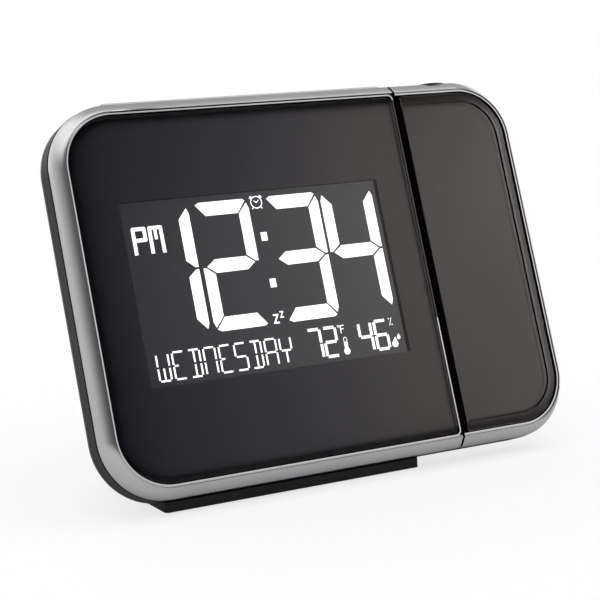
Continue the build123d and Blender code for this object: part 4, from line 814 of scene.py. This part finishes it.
make("lens_main", *lens(MAIN_LENS_RIGHT, -1, main_depth, MAIN_INSETS),
     CALM, "lens", "clock", "main_lens", smooth_below=6.0)
make("lens_arm", *lens(ARM_LENS_LEFT, 1, arm_depth, ARM_INSETS),
     SMOKED, "lens", "arm", "arm_lens", smooth_below=3.0, patches=((GLOSS_AND_SHADE, painted_shade_step),))


# ---- Display marks ----
MARK_DEPTH = LCD_FRONT - 0.04
marks_points, marks_faces = [], []


def mark(*outline):
    base = len(marks_points)
    marks_points.extend((x, u, MARK_DEPTH) for x, u in outline)
    marks_faces.append(tuple(range(base, base + len(outline))))


def stroke(a, b, width):
    """Straight bar from a to b."""
    along = Vector(b) - Vector(a)
    off = Vector((-along.y, along.x)).normalized() * width / 2
    mark(*[tuple(Vector(p) + o) for p, o in ((a, off), (a, -off), (b, -off), (b, off))])


def bent(*path, width):
    """Bar through several points, round at its bends."""
    for a, b in zip(path, path[1:]):
        stroke(a, b, width)
    for p in path[1:-1]:
        dot(*p, width / 2, 12)


def ring(cx, cu, radius, width, start=0.0, end=360.0, steps=32):
    outer = arc(cx, cu, radius, start, end, steps)
    inner = arc(cx, cu, radius - width, start, end, steps)
    for k in range(steps):
        mark(outer[k], outer[k + 1], inner[k + 1], inner[k])


def dot(cx, cu, radius, steps=24):
    mark(*arc(cx, cu, radius, 0, 360, steps)[:-1])


# The large time digits: seven segments each, lettered a to g clockwise from the top
DIGIT_W = 14.85
DIGIT_TOP = 21.65
DIGIT_MID = 5.85
DIGIT_LOW = -10.0
BAR_W = 2.9
BAR_H = 3.4
TIME_DIGITS = (("bc", -31.4), ("abged", -15.4), ("abgcd", 3.8), ("fgbc", 19.4))


def big_segment(kind, right):
    """One segment of the digit whose right side is at right."""
    left = right - DIGIT_W
    if kind in "bcef":
        outer, inward = (right, -1) if kind in "bc" else (left, 1)
        end, level = (DIGIT_TOP, 1) if kind in "bf" else (DIGIT_LOW, -1)
        near = DIGIT_MID + 0.25 * level
        mark(
            (outer, near), (outer + inward * 0.8, near + 0.05 * level),
            (outer + inward * BAR_W, near + 1.75 * level),
            (outer + inward * BAR_W, end - 3.65 * level),
            (outer + inward * 0.55, end - 1.0 * level), (outer, end - 2.4 * level),
        )
    elif kind == "g":
        half = BAR_H / 2
        mark(
            (left + 1.05, DIGIT_MID), (left + 3.3, DIGIT_MID + half - 0.05),
            (right - 3.2, DIGIT_MID + half - 0.05), (right - 1.05, DIGIT_MID),
            (right - 3.2, DIGIT_MID - half + 0.05), (left + 3.3, DIGIT_MID - half),
        )
    else:
        end, level = (DIGIT_TOP, -1) if kind == "a" else (DIGIT_LOW, 1)
        mark(
            (left + 0.75, end + 0.55 * level), (left + 1.8, end), (right - 1.7, end),
            (right - 1.2, end + 0.14 * level), (right - 0.8, end + 0.5 * level),
            (right - 3.1, end + BAR_H * level), (left + 3.1, end + BAR_H * level),
        )


for lit_segments, right in TIME_DIGITS:
    for kind in lit_segments:
        big_segment(kind, right)

COLON_X = -13.55
COLON_W = 1.65
COLON_H = 2.15
for low in (10.7, -0.95):
    mark((COLON_X, low), (COLON_X + COLON_W, low),
         (COLON_X + COLON_W, low + COLON_H), (COLON_X, low + COLON_H))

# The weekday and the small figures, made of thin bars on a grid of nine places
ROW_LOW = -19.85
DAY_LEFT = -46.4
DAY_PITCH = 4.03
DAY_W = 2.95
DAY_H = 6.45
DAY_BAR = 0.45
DAY_GAP = 0.55  # each bar stops short of its grid place by this share of its width
FIGURE_RISE = 0.15
FIGURE_W = 3.3
FIGURE_H = 7.1
FIGURE_BAR = 0.74
FIGURE_GAP = 0.25
FIGURES = ((-6.2, "7"), (-1.85, "2"), (8.1, "4"), (12.55, "6"))
# bars between grid places: 0 1 2 along the top, 3 4 5 across the middle, 6 7 8 along the foot
SIGNS = {
    "W": ((0, 3), (3, 6), (6, 8), (8, 5), (5, 2), (4, 7)),
    "E": ((0, 2), (0, 3), (3, 6), (6, 8), (3, 4)),
    "D": ((0, 2), (2, 5), (5, 8), (6, 8), (1, 4), (4, 7)),
    "N": ((0, 2), (0, 3), (3, 6), (2, 5), (5, 8)),
    "S": ((0, 2), (0, 3), (3, 5), (5, 8), (6, 8)),
    "A": ((0, 2), (0, 3), (3, 6), (2, 5), (5, 8), (3, 5)),
    "Y": ((0, 3), (3, 5), (2, 5), (4, 7)),
    "7": ((0, 2), (2, 5), (5, 8)),
    "2": ((0, 2), (2, 5), (3, 5), (3, 6), (6, 8)),
    "4": ((0, 3), (3, 5), (2, 5), (5, 8)),
    "6": ((0, 2), (0, 3), (3, 6), (6, 8), (8, 5), (3, 5)),
}


def small_sign(sign, left, low, width, height, thick, gap):
    def place(k):
        return Vector((left + width * (k % 3) / 2, low + height * (2 - k // 3) / 2))

    for a, b in SIGNS[sign]:
        start, end = place(a), place(b)
        short = (end - start).normalized() * thick * gap
        stroke(tuple(start + short), tuple(end - short), thick)


for number, letter in enumerate("WEDNESDAY"):
    small_sign(letter, DAY_LEFT + DAY_PITCH * number, ROW_LOW, DAY_W, DAY_H, DAY_BAR, DAY_GAP)
for left, figure in FIGURES:
    small_sign(figure, left, ROW_LOW + FIGURE_RISE, FIGURE_W, FIGURE_H, FIGURE_BAR, FIGURE_GAP)

# PM
PM_BAR = 0.9
bent((-46.48, 10.5), (-46.45, 16.7), (-43.6, 16.7), (-43.55, 14.0), (-46.4, 13.95), width=PM_BAR)
bent((-42.25, 10.5), (-42.2, 16.7), (-39.35, 16.7), (-39.3, 10.5), width=PM_BAR)
bent((-40.82, 16.6), (-40.82, 13.85), width=0.8)

# Alarm clock: face, hands, bells and feet
BELL_X = -13.1
ring(BELL_X, 20.45, 1.6, 0.26)
bent((-13.75, 20.95), (BELL_X, 20.35), (-12.4, 20.95), width=0.22)
for hand in (-1, 1):
    ring(BELL_X + hand * 1.1, 21.55, 0.62, 0.45, 40 - hand * 45, 150 - hand * 45, 10)
    stroke((BELL_X + hand * 1.0, 19.2), (BELL_X + hand * 1.4, 18.8), 0.26)

# Two sleeping letters: left, foot, size and bar
for left, low, size, width in ((-14.5, -9.7, 1.5, 0.42), (-12.6, -8.5, 1.05, 0.28)):
    top = low + size * 1.3
    stroke((left, top), (left + size, top), width)
    stroke((left + size * 0.85, top), (left + size * 0.15, low), width)
    stroke((left, low), (left + size, low), width)

# Degree sign and F
ring(2.5, -12.55, 0.3, 0.13, steps=16)
bent((3.05, -14.4), (3.05, -12.5), (4.1, -12.5), width=0.24)
stroke((3.05, -13.35), (3.9, -13.35), 0.24)

# Thermometer: round top, sides, filling and bulb
TUBE_X = 3.75
ring(TUBE_X, -15.9, 0.5, 0.16, 0, 180, 12)
for hand in (-1, 1):
    stroke((TUBE_X + hand * 0.42, -15.9), (TUBE_X + hand * 0.42, -18.2), 0.16)
stroke((TUBE_X, -16.6), (TUBE_X, -18.9), 0.62)
dot(TUBE_X, -18.95, 0.86)

# Percent sign
stroke((17.0, -14.15), (17.75, -12.15), 0.18)
for cx, cu in ((16.95, -12.4), (17.75, -13.9)):
    dot(cx, cu, 0.18, 12)

# Drops: middle, radius and tip
for cx, cu, radius, tip in (
        (17.55, -18.85, 0.88, (17.85, -17.1)), (18.85, -17.35, 0.5, (19.0, -16.3))):
    mark(*arc(cx, cu, radius, 150, 390, 18), tip)

lit, lit_tree, lit_shader = principled("lit_marks")
lit.cycles.emission_sampling = "NONE"
lit_shader.inputs["Base Color"].default_value = (0.9, 0.9, 0.9, 1)
lit_shader.inputs["Emission Color"].default_value = (1, 1, 1, 1)
glow = noise(lit_tree, 30, 1.0)
lit_tree.links.new(spread(lit_tree, glow, 1.0, 1.06), lit_shader.inputs["Emission Strength"])
make("display_marks", marks_points, marks_faces, lit, "backlight", "clock")


# ---- Rounded edges on the foot ----
FOOT_ROUND = 0.7
FOOT_ROUND_STEPS = 3
FOOT_SHARP = 35.0  # edges sharper than this, in degrees, are rounded

rounding = nodes["stand_foot"].modifiers.new("rounding", "BEVEL")
rounding.width = FOOT_ROUND * MM
rounding.segments = FOOT_ROUND_STEPS
rounding.limit_method = "ANGLE"
rounding.angle_limit = radians(FOOT_SHARP)


# ---- Floor ----
FLOOR = 4.0  # half its width, in metres
FLOOR_WHITE = 0.98
FLOOR_SHADOW = 0.3  # share of the object's shadow that the camera sees on the floor
FLOOR_MIRRORED = 0.6  # the floor as gloss and metal show it

corners = [(x * FLOOR, y * FLOOR, 0) for x, y in ((-1, -1), (1, -1), (1, 1), (-1, 1))]
floor_mesh = bpy.data.meshes.new("floor")
floor_mesh.from_pydata(corners, [], [(0, 1, 2, 3)])
floor = bpy.data.objects.new("floor", floor_mesh)
bpy.context.scene.collection.objects.link(floor)
floor_paint, floor_tree, floor_shader = principled("floor_white")
floor_paint.cycles.emission_sampling = "NONE"
floor_shader.inputs["Roughness"].default_value = 0.9
floor_shader.inputs["Specular IOR Level"].default_value = 0.0
floor_shader.inputs["Emission Color"].default_value = (1, 1, 1, 1)
maths = Maths(floor_tree)
shiny, seen = maths.rays()
unseen_tone = maths.pick(shiny, FLOOR_WHITE, FLOOR_MIRRORED)
floor_tone = maths.pick(seen, unseen_tone, FLOOR_WHITE * FLOOR_SHADOW)
floor_tree.links.new(floor_tone, floor_shader.inputs["Base Color"])
floor_glow = maths("MULTIPLY", seen, 1 - FLOOR_WHITE * FLOOR_SHADOW)
floor_tree.links.new(floor_glow, floor_shader.inputs["Emission Strength"])
paint(floor, floor_paint)


# ---- Studio ----
# The world lights matt surfaces evenly. Gloss shows a studio: white behind the clock, a grey
# ceiling that brightens to the left, a box overhead, a dark room on the camera's side, and light
# from the right. Directions are parts of a unit vector: east, north and high. A pair is where one
# part of the studio begins to give way to the next, and where it has.
BEHIND = 1.0
BEHIND_FROM = (0.1, 0.4)
CEILING = 0.41
CEILING_FROM = (0.3, 0.62)
LEFT_CEILING = 1.15
LEFT_CEILING_FROM = (0.3, 0.75)
RIGHT_FROM = (-0.3, 0.1)
OVERHEAD = 1.2
OVERHEAD_FRONT = (-0.22, -0.06)
OVERHEAD_BACK = (0.2, 0.36)
OVERHEAD_LOW = (0.7, 0.82)
ROOM = 0.03
LEFT_ROOM = 0.1
LEFT_ROOM_TO = (-0.3, 0.1)
# light from the front right, by how far right of straight ahead it comes (its tangent)
RIGHT_LIGHT = (
    (0.0, 0.02), (0.25, 0.03), (0.36, 0.1), (0.44, 0.34), (0.57, 0.62), (0.68, 0.94),
    (0.76, 1.08), (1.0, 1.5), (1.5, 2.2), (2.0, 2.6),
)
LEAST_AHEAD = 0.1  # keeps the tangent finite beside and behind the clock
# how the light from the right fades with height
RIGHT_HEIGHT = (
    (0.0, 0.1), (0.06, 0.2), (0.168, 0.6), (0.264, 0.85), (0.31, 0.9), (0.36, 0.95), (0.41, 1.0),
    (0.45, 0.9), (0.485, 0.75), (0.53, 0.5), (0.56, 0.35), (0.6, 0.22), (0.66, 0.12), (0.8, 0.08),
    (1.0, 0.08),
)
# light on the left, from the camera's side (-1) to behind the clock (1)
LEFT_LIGHT = ((-1.0, 0.05), (-0.5, 0.06), (-0.1, 0.2), (0.26, 0.42), (0.64, 0.74), (1.0, 1.0))

bpy.context.scene.view_settings.view_transform = "Standard"
world = bpy.data.worlds.new("studio")
bpy.context.scene.world = world
world.use_nodes = True
tree = world.node_tree
background = tree.nodes["Background"]
maths = Maths(tree)

heading = tree.nodes.new("ShaderNodeTexCoord")
axes = tree.nodes.new("ShaderNodeSeparateXYZ")
tree.links.new(heading.outputs["Generated"], axes.inputs["Vector"])
east, north, high = axes.outputs

ahead = maths("MAXIMUM", maths("MULTIPLY", north, -1.0), LEAST_AHEAD)
tangent = maths("MINIMUM", maths("DIVIDE", east, ahead), RIGHT_LIGHT[-1][0])
right_light = maths.curve(maths("MAXIMUM", tangent, 0.0), RIGHT_LIGHT)
right_fade = maths.curve(maths("MAXIMUM", high, 0.0), RIGHT_HEIGHT)
right_light = maths("MAXIMUM", maths("MULTIPLY", right_light, right_fade), ROOM)
behind_light = maths.fade(high, *CEILING_FROM, BEHIND, CEILING)
right_side = maths.pick(maths.fade(north, *BEHIND_FROM), right_light, behind_light)

left_low = maths.curve(north, LEFT_LIGHT)
left_light = maths.pick(maths.fade(high, *LEFT_CEILING_FROM), left_low, LEFT_CEILING)
left_room = maths("MINIMUM", left_light, LEFT_ROOM)
left_side = maths.pick(maths.fade(north, *LEFT_ROOM_TO), left_room, left_light)

studio = maths.pick(maths.fade(east, *RIGHT_FROM), left_side, right_side)
box_front = maths.fade(north, *OVERHEAD_FRONT)
box_back = maths.fade(north, *OVERHEAD_BACK, 1.0, 0.0)
box = maths("MULTIPLY", maths("MULTIPLY", box_front, box_back), maths.fade(high, *OVERHEAD_LOW))
studio = maths.pick(box, studio, OVERHEAD)
shiny, _ = maths.rays()
tree.links.new(maths.pick(shiny, 1.0, studio), background.inputs["Strength"])
background.inputs["Color"].default_value = (1, 1, 1, 1)
